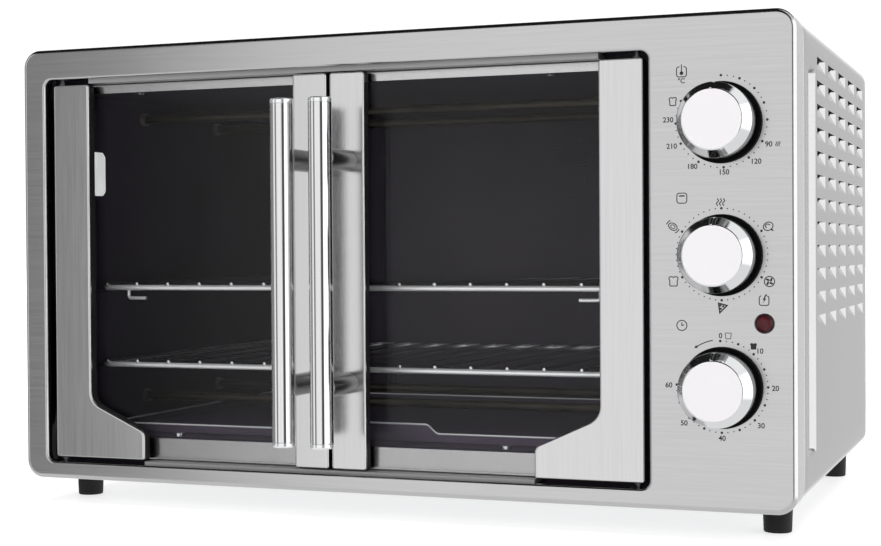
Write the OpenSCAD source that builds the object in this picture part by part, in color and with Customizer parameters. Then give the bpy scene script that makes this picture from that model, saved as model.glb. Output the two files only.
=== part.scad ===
// Countertop oven with two glass doors hinged at the sides, three dials, two wire racks and a crumb tray.
// Millimetres. +X is right, +Y is back, +Z is up. The origin is on the floor, under the outline's middle.

/* [Cabinet] */
// Width of the front fascia
oven_w = 570; // [520:1:640]
// Height of the front fascia
fascia_h = 318; // [300:1:350]
// Depth from the front of the fascia to the back of the rear cover
body_d = 390; // [370:1:440]
// Height of the feet
foot_h = 19; // [12:0.5:26]
// Diameter of a foot
foot_d = 20; // [16:0.5:24]
// Thickness of the pressed sheet panels
sheet = 0.5; // [0.4:0.1:1.2]
// Depth of the rim round the fascia
fascia_rim = 30; // [26:1:40]
// Corner radius of the fascia
fascia_r = 13; // [8:0.5:20]
// How far the cabinet panels lie inside the fascia's outline
panel_inset = 1; // [1:0.1:2]

/* [Door opening] */
// Width of the fascia left of the opening
post_w = 19; // [17:0.5:26]
// Width of the fascia right of the opening, under the dials
control_w = 94; // [84:1:110]
// Height of the fascia below the opening
sill_h = 12.5; // [12:0.5:18]
// Height of the fascia above the opening
head_h = 22.5; // [20:0.5:30]
// Corner radius of the opening
opening_r = 6; // [3:0.5:10]
// Depth of the lip that turns in round the opening
lip_d = 6; // [4:0.5:7]

/* [Doors] */
// Gap between a door's hinged edge and the opening
door_gap = 4.5; // [4:0.1:6]
// Gap above a door
door_top_gap = 4; // [3:0.1:6]
// Gap below a door
door_bottom_gap = 3; // [2.5:0.1:5]
// Gap between the two doors
meet_gap = 2.4; // [2:0.1:4]
// How far the doors' strips lie behind the fascia's face
door_recess = 5; // [4.5:0.1:6]
// Thickness of the strips' and rails' metal
strip_sheet = 1.2; // [1:0.1:1.6]
// Depth of a strip, from its face to the glass
strip_depth = 8; // [7.5:0.1:9]
// Width of the strip at the hinged edge
outer_strip_w = 30; // [26:0.5:36]
// Width of the strip at the meeting edge
inner_strip_w = 26; // [22:0.5:30]
// Length of the foot at the lower end of the hinged strip
gusset_w = 75; // [65:1:90]
// Height of that foot at its tip
gusset_tip_h = 21; // [16:0.5:26]
// Height of that foot where its slope meets the strip
gusset_root_h = 41.5; // [36:0.5:50]
// Thickness of the door glass
glass_t = 4; // [3:0.1:5]
// Height of the rail along the top of a door
top_rail_h = 6; // [4:0.5:10]
// Height of the rail along the bottom of a door
bottom_rail_h = 15.3; // [12:0.1:20]
// Depth of a rail behind the glass
rail_d = 5; // [3:0.1:6]
// Distance of the pivot from the door's hinged edge
pivot_in = 5; // [4:0.1:5.5]
// Distance of the pivot behind the strip's face
pivot_back = 5; // [4.5:0.1:5.5]
// Diameter of a hinge pin
pin_d = 4; // [3:0.1:4]

/* [Handles] */
// Diameter of a handle tube
bar_d = 16; // [12:0.5:18]
// Length of a handle with its caps
bar_l = 235; // [200:1:250]
// Height of the handle's middle above the fascia's lower edge
bar_mid_z = 153; // [145:1:160]
// Distance from the strip's face to the tube's axis
bar_reach = 43; // [34:1:55]
// Wall of the handle tube
bar_wall = 1.5; // [1:0.1:2.5]
// Height of a handle cap
bar_cap_h = 3.6; // [2:0.1:6]
// Diameter of a post that carries the handle
post_d = 15; // [10:0.5:16]
// Distance between the two posts of a handle
post_pitch = 154; // [120:1:175]

/* [Dials] */
// Height of the middle dial above the middle of the fascia
dial_mid_z = 4.5; // [-4:0.5:16]
// Distance between dials
dial_pitch = 84; // [72:0.5:90]
// Diameter of a knob at its base
knob_d = 52; // [40:0.5:56]
// Diameter of a knob's flat face
knob_face_d = 39; // [30:0.5:44]
// How far a knob stands out from the fascia
knob_l = 31; // [20:0.5:38]
// Diameter of a dial's shaft
shaft_d = 6; // [5:0.1:8]
// Distance of the indicator lamp right of the dials' axis
lamp_dx = 27; // [24:0.5:32]
// Distance of the indicator lamp below the middle dial
lamp_dz = 43; // [38:0.5:48]
// Diameter of the indicator lamp
lamp_d = 12.8; // [10:0.1:16]

/* [Side panels] */
// Vents in each row
vent_columns = 5; // [3:1:6]
// Rows of vents
vent_rows = 12; // [6:1:13]
// Length of a vent
vent_l = 40; // [30:1:46]
// Height of a vent
vent_h = 8.5; // [6:0.5:10]
// How far a vent is pushed in
vent_depth = 4.5; // [3:0.5:7]
// Distance from one column of vents to the next
vent_pitch_y = 56.4; // [50:0.2:58]
// Distance from one row of vents to the next
vent_pitch_z = 16; // [14:0.5:18]
// Distance of the first column behind the fascia's face
vent_start_y = 99; // [97:1:104]
// Distance of the top row's middle below the fascia's top
vent_top = 24.5; // [20:0.5:32]
// Width of the upright groove pressed into a side panel
groove_w = 33; // [20:1:34]
// Depth of that groove
groove_depth = 5; // [3:0.5:6]
// Distance of the groove behind the fascia's face
groove_y = 59; // [50:1:60]
// Distance of the groove's ends from the fascia's top and bottom
groove_end = 30; // [24:1:60]

/* [Cavity] */
// How far the cavity's side walls lie inside the door opening
mouth_side = 14; // [12:0.5:18]
// Height of the cavity's floor above the opening's lower edge
mouth_low = 19; // [18:0.5:24]
// Depth of the cavity's ceiling below the opening's upper edge
mouth_high = 8.5; // [8:0.5:14]
// Free space between the cavity's back wall and the rear cover
rear_space = 44; // [36:1:50]
// Diameter of a heating rod
rod_d = 7; // [5:0.5:9]
// Distance of the upper rods below the ceiling
upper_rod_drop = 13; // [12:0.5:18]
// Height of the lower rods above the floor
lower_rod_rise = 21; // [18:0.5:26]
// Distance of the front rods behind the cavity's mouth
rod_front = 92; // [80:1:110]
// Distance of the rear rods in front of the cavity's back wall
rod_rear = 110; // [90:1:120]

/* [Racks and tray] */
// Height of the upper rack's frame above the fascia's lower edge
upper_rack_z = 141; // [136:1:160]
// Height of the lower rack's frame above the fascia's lower edge
lower_rack_z = 83; // [78:1:90]
// Diameter of a rack's frame wire
frame_wire_d = 4; // [3:0.1:5]
// Diameter of a rack's cross wires
cross_wire_d = 2.8; // [2:0.1:3.4]
// Cross wires in a rack
cross_wires = 16; // [10:1:20]
// Gap between a rack's frame and the cavity's side walls
rack_side_gap = 6; // [4:0.5:8]
// Gap between a rack's front and the cavity's mouth
rack_front_gap = 12; // [10:0.5:16]
// Gap between a rack's rear and the back wall
rack_rear_gap = 21; // [12:0.5:30]
// Gap between the crumb tray's front and the cavity's mouth
tray_front_gap = 24; // [22:0.5:30]
// Height of the crumb tray's rim
tray_rim = 6; // [4:0.5:8]
// Height of the crumb tray's grip
tray_grip_h = 12.5; // [9:0.5:14]
// Length of the crumb tray's grip
tray_grip_l = 110; // [70:1:140]

/* [Convection] */
// Diameter of the fan
fan_d = 110; // [80:1:120]
// Depth of the fan's housing
fan_housing_d = 26; // [22:1:30]
// Blades of the fan
fan_blades = 8; // [5:1:10]
// Diameter of the fan's motor
motor_d = 56; // [40:1:60]
// Length of the fan's motor
motor_l = 42; // [30:1:46]

/* [Hidden] */
$fn = 64;

steel = [0.74, 0.74, 0.75];
light_steel = [0.82, 0.82, 0.83];
chrome = [0.86, 0.87, 0.88];
dark_enamel = [0.10, 0.11, 0.13];
black_rubber = [0.08, 0.08, 0.08];
galvanised = [0.62, 0.64, 0.66];
ceramic_white = [0.90, 0.89, 0.85];
rod_brown = [0.36, 0.32, 0.24];

// Clearances
fit = 0.05;
seat = 0.3;
slip = 0.2;
cut = 1;

// Cabinet
half_w = oven_w / 2;
panel_x = half_w - panel_inset;
panel_top = fascia_h - panel_inset;
panel_bottom = panel_inset;
panel_r = fascia_r - panel_inset;
rim_lap = 10;
panel_y0 = fascia_rim - rim_lap;
seam_lap = 2;
base_sheet = 0.8;
panel_y1 = body_d - sheet;
flange_w = 15;
top_seam_x = panel_x - panel_r;
base_z = panel_bottom + sheet;
base_top = base_z + base_sheet;
ledge_in = panel_r + flange_w;

// Door opening and doors
open_x0 = -half_w + post_w;
open_x1 = half_w - control_w;
open_z0 = sill_h;
open_z1 = fascia_h - head_h;
open_mid = (open_x0 + open_x1) / 2;
open_half = (open_x1 - open_x0) / 2;
door_x0 = -open_half + door_gap;
door_x1 = -meet_gap / 2;
door_z0 = open_z0 + door_bottom_gap;
door_z1 = open_z1 - door_top_gap;
strip_y0 = door_recess;
strip_y1 = strip_y0 + strip_sheet;
glass_y0 = strip_y0 + strip_depth;
glass_y1 = glass_y0 + glass_t;
rail_y1 = glass_y1 + strip_sheet;
rail_y2 = glass_y1 + rail_d;
glass_in = 1;
glass_x0 = door_x0 + pivot_in + glass_in;
glass_x1 = door_x1 - strip_sheet;
outer_strip_x1 = door_x0 + outer_strip_w;
inner_strip_x0 = door_x1 - inner_strip_w;
inner_strip_mid = door_x1 - inner_strip_w / 2;
pivot_x = door_x0 + pivot_in;
pivot_y = strip_y0 + pivot_back;
gusset_tip_r = 6;
gusset_root_r = 12;
door_clear = 1.2;
hinge_block_w = 14;
hinge_block_h = 12;

// Front bulkhead and cavity
bulkhead_y0 = rail_y2 + door_clear;
bulkhead_y1 = bulkhead_y0 + sheet;
bulkhead_lip = 12;
cav_x0 = open_x0 + mouth_side;
cav_x1 = open_x1 - mouth_side;
cav_z0 = open_z0 + mouth_low;
cav_z1 = open_z1 - mouth_high;
cav_y0 = bulkhead_y1;
cav_y1 = body_d - rear_space - sheet;
cav_mid = (cav_x0 + cav_x1) / 2;

// Hinges and the crossed cables that turn the doors together
bracket_t = 3;
bracket_w = 16;
bracket_gap = 1.5;
bracket_leg = 12;
bracket_top_z = open_z1 + bracket_gap;
bracket_low_z = open_z0 - bracket_gap;
pin_collar_d = 6.4;
pin_collar_h = 1.2;
pin_tail = 1.5;
drum_d = 14;
drum_h = 4;
drum_gap = 0.4;
cable_d = 1;
drum_z1 = bracket_low_z - bracket_t - drum_gap;
drum_z0 = drum_z1 - drum_h;
drum_span = 2 * -pivot_x;
cable_r = drum_d / 2 + seat + cable_d / 2;
cable_angle = asin(2 * cable_r / drum_span);
cable_wrap = 150;
cable_steps = 20;
cable_sides = 12;

// Handles
bar_y = strip_y0 - bar_reach;
bar_z0 = bar_mid_z - bar_l / 2;
bar_z1 = bar_mid_z + bar_l / 2;
handle_screw_d = 4;
handle_screw_head_d = 8;
handle_screw_head_h = 2.5;
handle_screw_tail = 1;
glass_hole_gap = 0.5;
cap_plug_h = 8;

// Dials
dial_x = half_w - control_w / 2;
dial_row_z = fascia_h / 2 + dial_mid_z;
dial_z = [dial_row_z + dial_pitch, dial_row_z, dial_row_z - dial_pitch];
knob_gap = 1;
knob_bevel = 7.5;
knob_taper = 1.6;
pointer_w = 1.6;
pointer_depth = 0.8;
collar_d = 10;
collar_l = 9;
shaft_in_knob = 18;
shaft_in_control = 22;
lamp_x = dial_x + lamp_dx;
lamp_z = dial_row_z - lamp_dz;
lamp_dome_h = 4;
lamp_rim = 1.4;
lamp_stem = 14;
shaft_end_gap = 1;
thermostat_w = 42;
thermostat_d = 30;
thermostat_h = 32;
tab_pitch = 14;
tab_w = 6;
tab_l = 10;
tab_t = 1;
tab_root = 1;
tab_drop = 10;
switch_d = 40;
switch_l = 28;
switch_pins = 6;
switch_pin_r = 14;
switch_pin_d = 4;
switch_pin_l = 8;
timer_w = 48;
timer_d = 40;
timer_h = 52;
bell_d = 40;
bell_l = 10;

// Vents and groove
groove_slope = 5;
vent_top_z = fascia_h - vent_top;

// Heating rods and insulators
rod_y = [cav_y0 + rod_front, cav_y1 - rod_rear];
rod_upper_z = cav_z1 - upper_rod_drop;
rod_lower_z = cav_z0 + lower_rod_rise;
insulator_d = rod_d + 3;
insulator_flange_d = rod_d + 9;
insulator_flange_t = 3;
insulator_in = 4;
rod_tail = 16;

// Racks and tray
rack_x0 = cav_x0 + rack_side_gap + frame_wire_d / 2;
rack_x1 = cav_x1 - rack_side_gap - frame_wire_d / 2;
rack_y0 = cav_y0 + rack_front_gap + frame_wire_d / 2;
rack_y1 = cav_y1 - rack_rear_gap - frame_wire_d / 2;
rack_bend = 14;
cross_pitch = (rack_x1 - rack_x0) / (cross_wires - 0.5);
cross_sink = 0.5;
rack_levels = [upper_rack_z, lower_rack_z];
guide_w = rack_side_gap + frame_wire_d + 4;
guide_leg = 10;
guide_end = 16;
hook_drop = 8;
hook_run = 15;
hook_in = 22;
hook_y_in = 6;
tray_side_gap = 10;
tray_rear_gap = 10;
tray_x0 = cav_x0 + tray_side_gap;
tray_x1 = cav_x1 - tray_side_gap;
tray_y0 = cav_y0 + tray_front_gap;
tray_y1 = cav_y1 - tray_rear_gap;
tray_z = cav_z0 + seat;
tray_grip_slope = 10;

// Convection fan
fan_y = (cav_y0 + cav_y1) / 2;
fan_rise = 10;
fan_z = (cav_z0 + cav_z1) / 2 + fan_rise;
fan_wall = 7;
housing_x0 = cav_x1 + sheet;
housing_x1 = housing_x0 + fan_housing_d;
housing_d = fan_d + 2 * fan_wall;
housing_lip = 8;
fan_hub_d = 18;
fan_shaft_d = 6;
fan_front_gap = 5;
fan_blade_w = 14;
fan_blade_t = 1;
fan_blade_tilt = 30;
motor_boss_l = 3;
motor_bore_l = 24;
grille_hole_d = 7;
grille_rings = 3;
grille_ring_pitch = 14;

// Cavity lamp on the left wall
lens_y0 = cav_y0 + 18;
lens_l = 14;
lens_h = 33;
lens_t = 2.5;
lens_lap = 2.5;
lens_mid_z = fascia_h - 90.5;
lamp_box_d = 20;
lamp_box_wall = 3;

// Feet and screws
foot_side = 20;
foot_front = 54;
foot_rear = 55;
foot_x = panel_x - foot_side;
foot_y = [foot_front, body_d - foot_rear];
foot_taper = 1.5;
foot_recess_d = 11;
foot_recess_h = 6;
screw_d = 4;
screw_head_d = 8;
screw_head_h = 2.2;
screw_grip = 8;
screw_tail = 4;
liner_screw_y = cav_y0 + 6;
liner_top_x = [cav_x0 + 51, cav_x1 - 60];
liner_low_x = [cav_x0 + 81, cav_x1 - 93];
rear_screw_z = [for (i = [0 : 3]) fascia_h * (i + 0.5) / 4];
rear_flange = 16;
rear_screw_x = panel_x - rear_flange / 2;

// Rear
gland_d = 14;
gland_flange_d = 20;
gland_flange_t = 3;
gland_in = 10;
gland_out = 10;
gland_bore = 8;
gland_x = half_w - 60;
gland_z = 40;
slot_l = 34;
slot_h = 4;
slot_pitch_x = 46;
slot_pitch_z = 12;
slot_columns = 8;
slot_rows = 6;
terminal_w = 46;
terminal_d = 18;
terminal_h = 16;
terminal_ways = 3;
terminal_hole_d = 5;
terminal_rear = 40;
slot_top = 50;

// The outline's depth runs from the front of the handles to the end of the cable gland
reach_front = bar_reach + bar_d / 2 - door_recess;
overall_d = reach_front + body_d + gland_out;
front_y = -overall_d / 2 + reach_front;

// Shared shapes

// Moves the local frame, at the fascia's lower front edge, to the object's own frame
module place() {
  translate([0, front_y, foot_h]) children();
}

// The left door's frame has its X zero midway between the doors, and the right door is its mirror image
module left_door() {
  place() translate([open_mid, 0, 0]) children();
}

module right_door() {
  place() translate([open_mid, 0, 0]) mirror([1, 0, 0]) children();
}

module box(x, y, z) {
  translate([x[0], y[0], z[0]]) cube([x[1] - x[0], y[1] - y[0], z[1] - z[0]]);
}

// Carries an outline drawn in X and Z from one Y to another
module deep(y) {
  translate([0, y[1], 0]) rotate([90, 0, 0]) linear_extrude(y[1] - y[0]) children();
}

module rod_along_x(x, y, z, d) {
  translate([x[0], y, z]) rotate([0, 90, 0]) cylinder(h = x[1] - x[0], d = d);
}

module rod_along_y(x, y, z, d) {
  translate([x, y[1], z]) rotate([90, 0, 0]) cylinder(h = y[1] - y[0], d = d);
}

module rod_along_z(x, y, z, d) {
  translate([x, y, z[0]]) cylinder(h = z[1] - z[0], d = d);
}

module round_rect(x, z, r) {
  translate([x[0] + r, z[0]]) square([x[1] - x[0] - 2 * r, z[1] - z[0]]);
  translate([x[0], z[0] + r]) square([x[1] - x[0], z[1] - z[0] - 2 * r]);
  for (cx = [x[0] + r, x[1] - r], cz = [z[0] + r, z[1] - r]) translate([cx, cz]) circle(r);
}

// Points of an arc about a centre, from one angle to another
function arc(c, r, a, steps = 10) =
  [for (i = [0 : steps]) let (t = a[0] + (a[1] - a[0]) * i / steps) c + r * [cos(t), sin(t)]];

// Cabinet

module front_fascia() {
  outer_x = [-half_w, half_w];
  outer_z = [0, fascia_h];
  opening_x = [open_x0, open_x1];
  opening_z = [open_z0, open_z1];
  color(steel) place() difference() {
    union() {
      difference() {
        deep([0, fascia_rim]) round_rect(outer_x, outer_z, fascia_r);
        deep([sheet, fascia_rim + cut])
          round_rect(outer_x + [sheet, -sheet], outer_z + [sheet, -sheet], fascia_r - sheet);
      }
      deep([0, lip_d])
        round_rect(opening_x + [-sheet, sheet], opening_z + [-sheet, sheet], opening_r + sheet);
    }
    deep([-cut, lip_d + cut]) round_rect(opening_x, opening_z, opening_r);
    for (z = dial_z) rod_along_y(dial_x, [-cut, sheet + cut], z, collar_d + 4 * slip);
    rod_along_y(lamp_x, [-cut, sheet + cut], lamp_z, lamp_d - 2 * lamp_rim + 2 * fit);
  }
}

module front_bulkhead() {
  lip_y = [bulkhead_y1, bulkhead_y1 + bulkhead_lip];
  color(galvanised) place() difference() {
    union() {
      box([-top_seam_x, top_seam_x], [bulkhead_y0, bulkhead_y1], [base_top, panel_top - 2 * sheet]);
      box([cav_x0, cav_x1], lip_y, [cav_z1 + sheet, cav_z1 + 2 * sheet]);
      box([cav_x0, cav_x1], lip_y, [cav_z0 - 2 * sheet, cav_z0 - sheet]);
    }
    box([cav_x0, cav_x1], [bulkhead_y0 - cut, bulkhead_y1 + cut / 10], [cav_z0, cav_z1]);
    for (z = dial_z) rod_along_y(dial_x, [bulkhead_y0 - cut, bulkhead_y1 + cut], z, collar_d + 2 * fit);
    liner_screw_holes();
  }
}

// One side panel: a sheet bent over at the top, the bottom and the rear, with a groove and pushed-in vents
module side_panel() {
  difference() {
    union() {
      deep([panel_y0, panel_y1]) side_section();
      box([panel_x - ledge_in, top_seam_x + seam_lap], [panel_y0, panel_y1],
        [panel_top - 2 * sheet, panel_top - sheet]);
      box([panel_x - rear_flange, panel_x - sheet / 2], [panel_y1 - sheet, panel_y1],
        [panel_bottom + panel_r, panel_top - panel_r]);
      groove_prism(sheet, 0);
      vents() vent_wedge(sheet, 0);
    }
    groove_prism(0, cut);
    vents() vent_wedge(0, cut);
    for (z = rear_screw_z)
      rod_along_y(rear_screw_x, [panel_y1 - sheet - cut, panel_y1 + cut], z, screw_d + 2 * fit);
    for (y = foot_y) rod_along_z(foot_x, y, [panel_bottom - cut, base_z + cut], screw_d + 2 * fit);
  }
}

module side_section() {
  intersection() {
    difference() {
      round_rect([-panel_x, panel_x], [panel_bottom, panel_top], panel_r);
      round_rect([sheet - panel_x, panel_x - sheet], [panel_bottom + sheet, panel_top - sheet],
        panel_r - sheet);
    }
    union() {
      translate([top_seam_x, 0]) square([half_w, fascia_h]);
      translate([panel_x - ledge_in, 0]) square([half_w, panel_r]);
    }
  }
}

// The groove's trough: grown by a wall outside, and open past the panel's face inside
module groove_prism(wall, open) {
  z = [groove_end - wall, fascia_h - groove_end + wall];
  mouth = [groove_y - wall, groove_y + groove_w + wall];
  floor_x = panel_x - groove_depth - wall;
  face_x = panel_x - wall / 2;
  translate([0, 0, z[0]]) linear_extrude(z[1] - z[0])
    polygon([
      [face_x + open, mouth[0]], [face_x + open, mouth[1]], [face_x, mouth[1]],
      [floor_x, mouth[1] - groove_slope], [floor_x, mouth[0] + groove_slope], [face_x, mouth[0]]
    ]);
}

module vents() {
  for (column = [0 : vent_columns - 1], row = [0 : vent_rows - 1])
    translate([panel_x, vent_start_y + column * vent_pitch_y, vent_top_z - row * vent_pitch_z]) children();
}

// A vent is a flap hinged at its lower edge with closed cheeks, deepest at its top, where it is open
module vent_wedge(wall, open) {
  low = -vent_h / 2;
  top = vent_h / 2 - (open > 0 ? 0 : wall / 2);
  face = open > 0 ? open : -wall / 2;
  translate([0, vent_l + wall, 0]) rotate([90, 0, 0]) linear_extrude(vent_l + 2 * wall)
    polygon([[face, low - wall], [face, top], [-vent_depth - wall, top], [-wall, low - wall]]);
}

module right_side_panel() {
  color(steel) place() side_panel();
}

module left_side_panel() {
  color(steel) place() mirror([1, 0, 0]) side_panel();
}

module top_panel() {
  color(steel) place()
    box([-top_seam_x + slip, top_seam_x - slip], [panel_y0, panel_y1], [panel_top - sheet, panel_top]);
}

module base_plate() {
  color(galvanised) place() difference() {
    box([-top_seam_x, top_seam_x], [panel_y0, panel_y1 - sheet], [base_z, base_top]);
    for (x = [-foot_x, foot_x], y = foot_y)
      rod_along_z(x, y, [base_z - cut, base_top + cut], screw_d + 2 * fit);
  }
}

module rear_cover() {
  inset = sheet;
  color(galvanised) place() difference() {
    deep([panel_y1, body_d])
      round_rect([inset - panel_x, panel_x - inset], [panel_bottom + inset, panel_top - inset],
        panel_r - inset);
    for (x = [-rear_screw_x, rear_screw_x], z = rear_screw_z)
      rod_along_y(x, [panel_y1 - cut, body_d + cut], z, screw_d + 2 * fit);
    rod_along_y(gland_x, [panel_y1 - cut, body_d + cut], gland_z, gland_d + 2 * fit);
    for (column = [0 : slot_columns - 1], row = [0 : slot_rows - 1])
      translate([
        (column - (slot_columns - 1) / 2) * slot_pitch_x, 0, fascia_h - slot_top - row * slot_pitch_z])
        box([-slot_l / 2, slot_l / 2], [panel_y1 - cut, body_d + cut], [-slot_h / 2, slot_h / 2]);
  }
}

module rubber_feet() {
  color(black_rubber) place()
    for (x = [-foot_x, foot_x], y = foot_y) translate([x, y, -foot_h]) difference() {
      cylinder(h = foot_h + panel_bottom, d1 = foot_d - foot_taper, d2 = foot_d);
      translate([0, 0, -cut]) cylinder(h = foot_h + panel_bottom + 2 * cut, d = screw_d + 2 * fit);
      translate([0, 0, -cut]) cylinder(h = foot_recess_h + cut, d = foot_recess_d);
    }
}

// A pan head screw along +Z, with its head's seat at zero
module pan_screw(grip) {
  translate([0, 0, -screw_head_h]) cylinder(h = screw_head_h, d = screw_head_d);
  translate([0, 0, -screw_head_h / 2]) cylinder(h = grip + screw_head_h / 2, d = screw_d);
}

module liner_screw_holes() {
  d = screw_d + 2 * fit;
  for (x = liner_top_x) rod_along_z(x, liner_screw_y, [cav_z1 - cut, cav_z1 + 2 * sheet + cut], d);
  for (x = liner_low_x) rod_along_z(x, liner_screw_y, [cav_z0 - 2 * sheet - cut, cav_z0 + cut], d);
}

module cabinet_screws() {
  foot_grip = foot_h - foot_recess_h + base_top + screw_tail;
  color(chrome) place() {
    for (x = [-rear_screw_x, rear_screw_x], z = rear_screw_z)
      translate([x, body_d, z]) rotate([90, 0, 0]) pan_screw(screw_grip);
    for (x = [-foot_x, foot_x], y = foot_y) translate([x, y, foot_recess_h - foot_h]) pan_screw(foot_grip);
    for (x = liner_top_x) translate([x, liner_screw_y, cav_z1]) pan_screw(screw_grip);
    for (x = liner_low_x) translate([x, liner_screw_y, cav_z0]) mirror([0, 0, 1]) pan_screw(screw_grip);
  }
}

// Cavity

module cavity_wall(x) {
  box(x, [cav_y0, cav_y1], [cav_z0, cav_z1]);
}

module rod_holes(x) {
  for (y = rod_y, z = [rod_upper_z, rod_lower_z]) rod_along_x(x, y, z, insulator_d + 2 * fit);
}

module cavity_left_wall() {
  x = [cav_x0 - sheet, cav_x0];
  color(dark_enamel) place() difference() {
    cavity_wall(x);
    rod_holes(x + [-cut, cut]);
    box(x + [-cut, cut], [lens_y0 + lens_lap, lens_y0 + lens_l - lens_lap],
      [lens_mid_z - lens_h / 2 + lens_lap, lens_mid_z + lens_h / 2 - lens_lap]);
  }
}

module cavity_right_wall() {
  x = [cav_x1, cav_x1 + sheet];
  color(dark_enamel) place() difference() {
    cavity_wall(x);
    rod_holes(x + [-cut, cut]);
    for (ring = [1 : grille_rings], i = [0 : 6 * ring - 1]) {
      r = ring * grille_ring_pitch;
      turn = 360 * i / (6 * ring);
      rod_along_x(x + [-cut, cut], fan_y + r * cos(turn), fan_z + r * sin(turn), grille_hole_d);
    }
  }
}

module cavity_ceiling() {
  color(dark_enamel) place() difference() {
    box([cav_x0 - sheet, cav_x1 + sheet], [cav_y0, cav_y1], [cav_z1, cav_z1 + sheet]);
    liner_screw_holes();
  }
}

module cavity_floor() {
  color(dark_enamel) place() difference() {
    box([cav_x0 - sheet, cav_x1 + sheet], [cav_y0, cav_y1], [cav_z0 - sheet, cav_z0]);
    liner_screw_holes();
  }
}

module cavity_back_wall() {
  color(dark_enamel) place()
    box([cav_x0 - sheet, cav_x1 + sheet], [cav_y1, cav_y1 + sheet], [cav_z0 - sheet, cav_z1 + sheet]);
}

// Angle strips on the side walls that carry the racks
module rack_guides() {
  y = [cav_y0 + guide_end, cav_y1 - guide_end];
  color(dark_enamel) place() for (level = rack_levels) {
    top = level - frame_wire_d / 2 - seat;
    for (side = [0, 1]) translate([side * 2 * cav_mid, 0, 0]) mirror([side, 0, 0]) {
      box([cav_x0, cav_x0 + guide_w], y, [top - sheet, top]);
      box([cav_x0, cav_x0 + sheet], y, [top - guide_leg, top]);
    }
  }
}

module heating_rods(z) {
  x = [cav_x0 - sheet - rod_tail, cav_x1 + sheet + rod_tail];
  color(rod_brown) place() for (y = rod_y) rod_along_x(x, y, z, rod_d);
}

module upper_heating_rods() {
  heating_rods(rod_upper_z);
}

module lower_heating_rods() {
  heating_rods(rod_lower_z);
}

module rod_insulators() {
  color(ceramic_white) place()
    for (side = [0, 1], y = rod_y, z = [rod_upper_z, rod_lower_z])
      translate([side * 2 * cav_mid, 0, 0]) mirror([side, 0, 0]) difference() {
        union() {
          rod_along_x([cav_x0 - sheet - insulator_flange_t, cav_x0 + insulator_in], y, z, insulator_d);
          rod_along_x([cav_x0 - sheet - insulator_flange_t, cav_x0 - sheet], y, z, insulator_flange_d);
        }
        rod_along_x([cav_x0 - rod_tail, cav_x0 + rod_tail], y, z, rod_d + 2 * fit);
      }
}

module oven_lamp_lens() {
  y = [lens_y0, lens_y0 + lens_l];
  z = [lens_mid_z - lens_h / 2, lens_mid_z + lens_h / 2];
  bevel = lens_l / 4;
  color("white") place() translate([cav_x0, 0, 0]) rotate([90, 0, 90]) linear_extrude(lens_t)
    polygon([
      [y[0], z[0]], [y[1] - bevel, z[0]], [y[1], z[0] + bevel],
      [y[1], z[1] - bevel], [y[1] - bevel, z[1]], [y[0], z[1]]
    ]);
}

// The box behind the lens that holds its lamp
module oven_lamp_holder() {
  x = [cav_x0 - sheet - lamp_box_d, cav_x0 - sheet];
  y = [lens_y0 - lamp_box_wall, lens_y0 + lens_l + lamp_box_wall];
  z = [lens_mid_z - lens_h / 2 - lamp_box_wall, lens_mid_z + lens_h / 2 + lamp_box_wall];
  grow = [lamp_box_wall, -lamp_box_wall];
  color(galvanised) place() difference() {
    box(x, y, z);
    box([x[0] + lamp_box_wall, x[1] + cut], y + grow, z + grow);
  }
}

// Convection fan

module fan_housing() {
  color(galvanised) place() difference() {
    union() {
      rod_along_x([housing_x0, housing_x1], fan_y, fan_z, housing_d);
      rod_along_x([housing_x0, housing_x0 + sheet], fan_y, fan_z, housing_d + 2 * housing_lip);
    }
    rod_along_x([housing_x0 - cut, housing_x1 - sheet], fan_y, fan_z, housing_d - 2 * sheet);
    rod_along_x([housing_x0, housing_x1 + cut], fan_y, fan_z, fan_shaft_d + 2);
  }
}

module fan_motor() {
  back = housing_x1 + motor_l;
  color(galvanised) place() difference() {
    union() {
      rod_along_x([housing_x1 + motor_boss_l, back], fan_y, fan_z, motor_d);
      rod_along_x([housing_x1, back], fan_y, fan_z, motor_d / 2);
    }
    rod_along_x([housing_x1 - cut, housing_x1 + motor_bore_l], fan_y, fan_z, fan_shaft_d + 2 * fit);
  }
}

module convection_fan() {
  front = housing_x0 + fan_front_gap;
  hub = [front, front + fan_blade_w];
  blade_x = (hub[0] + hub[1]) / 2;
  blade_l = (fan_d - fan_hub_d) / 2 + 2;
  blade_h = fan_blade_w * cos(fan_blade_tilt);
  color(light_steel) place() {
    rod_along_x(hub, fan_y, fan_z, fan_hub_d);
    rod_along_x([front, housing_x1 + motor_bore_l - 2], fan_y, fan_z, fan_shaft_d);
    for (i = [0 : fan_blades - 1])
      translate([blade_x, fan_y, fan_z]) rotate([360 * i / fan_blades, 0, 0])
        translate([0, 0, fan_hub_d / 2 - 2]) rotate([0, 0, fan_blade_tilt])
          box([-blade_h / 2, blade_h / 2], [-fan_blade_t / 2, fan_blade_t / 2], [0, blade_l]);
  }
}

// Hinges

// A bracket on the bulkhead's front, with the bore that a hinge pin turns in; up is 1 for a top bracket
module hinge_bracket(z, up) {
  x = [pivot_x - bracket_w / 2, pivot_x + bracket_w / 2];
  plate = up > 0 ? [z, z + bracket_t] : [z - bracket_t, z];
  leg = up > 0 ? [z, z + bracket_leg] : [base_top + slip, z];
  difference() {
    union() {
      box(x, [lip_d + bracket_gap, bulkhead_y0], plate);
      box(x, [bulkhead_y0 - strip_sheet, bulkhead_y0], leg);
    }
    rod_along_z(pivot_x, pivot_y, plate + [-cut, cut], pin_d + 2 * fit);
  }
}

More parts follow.
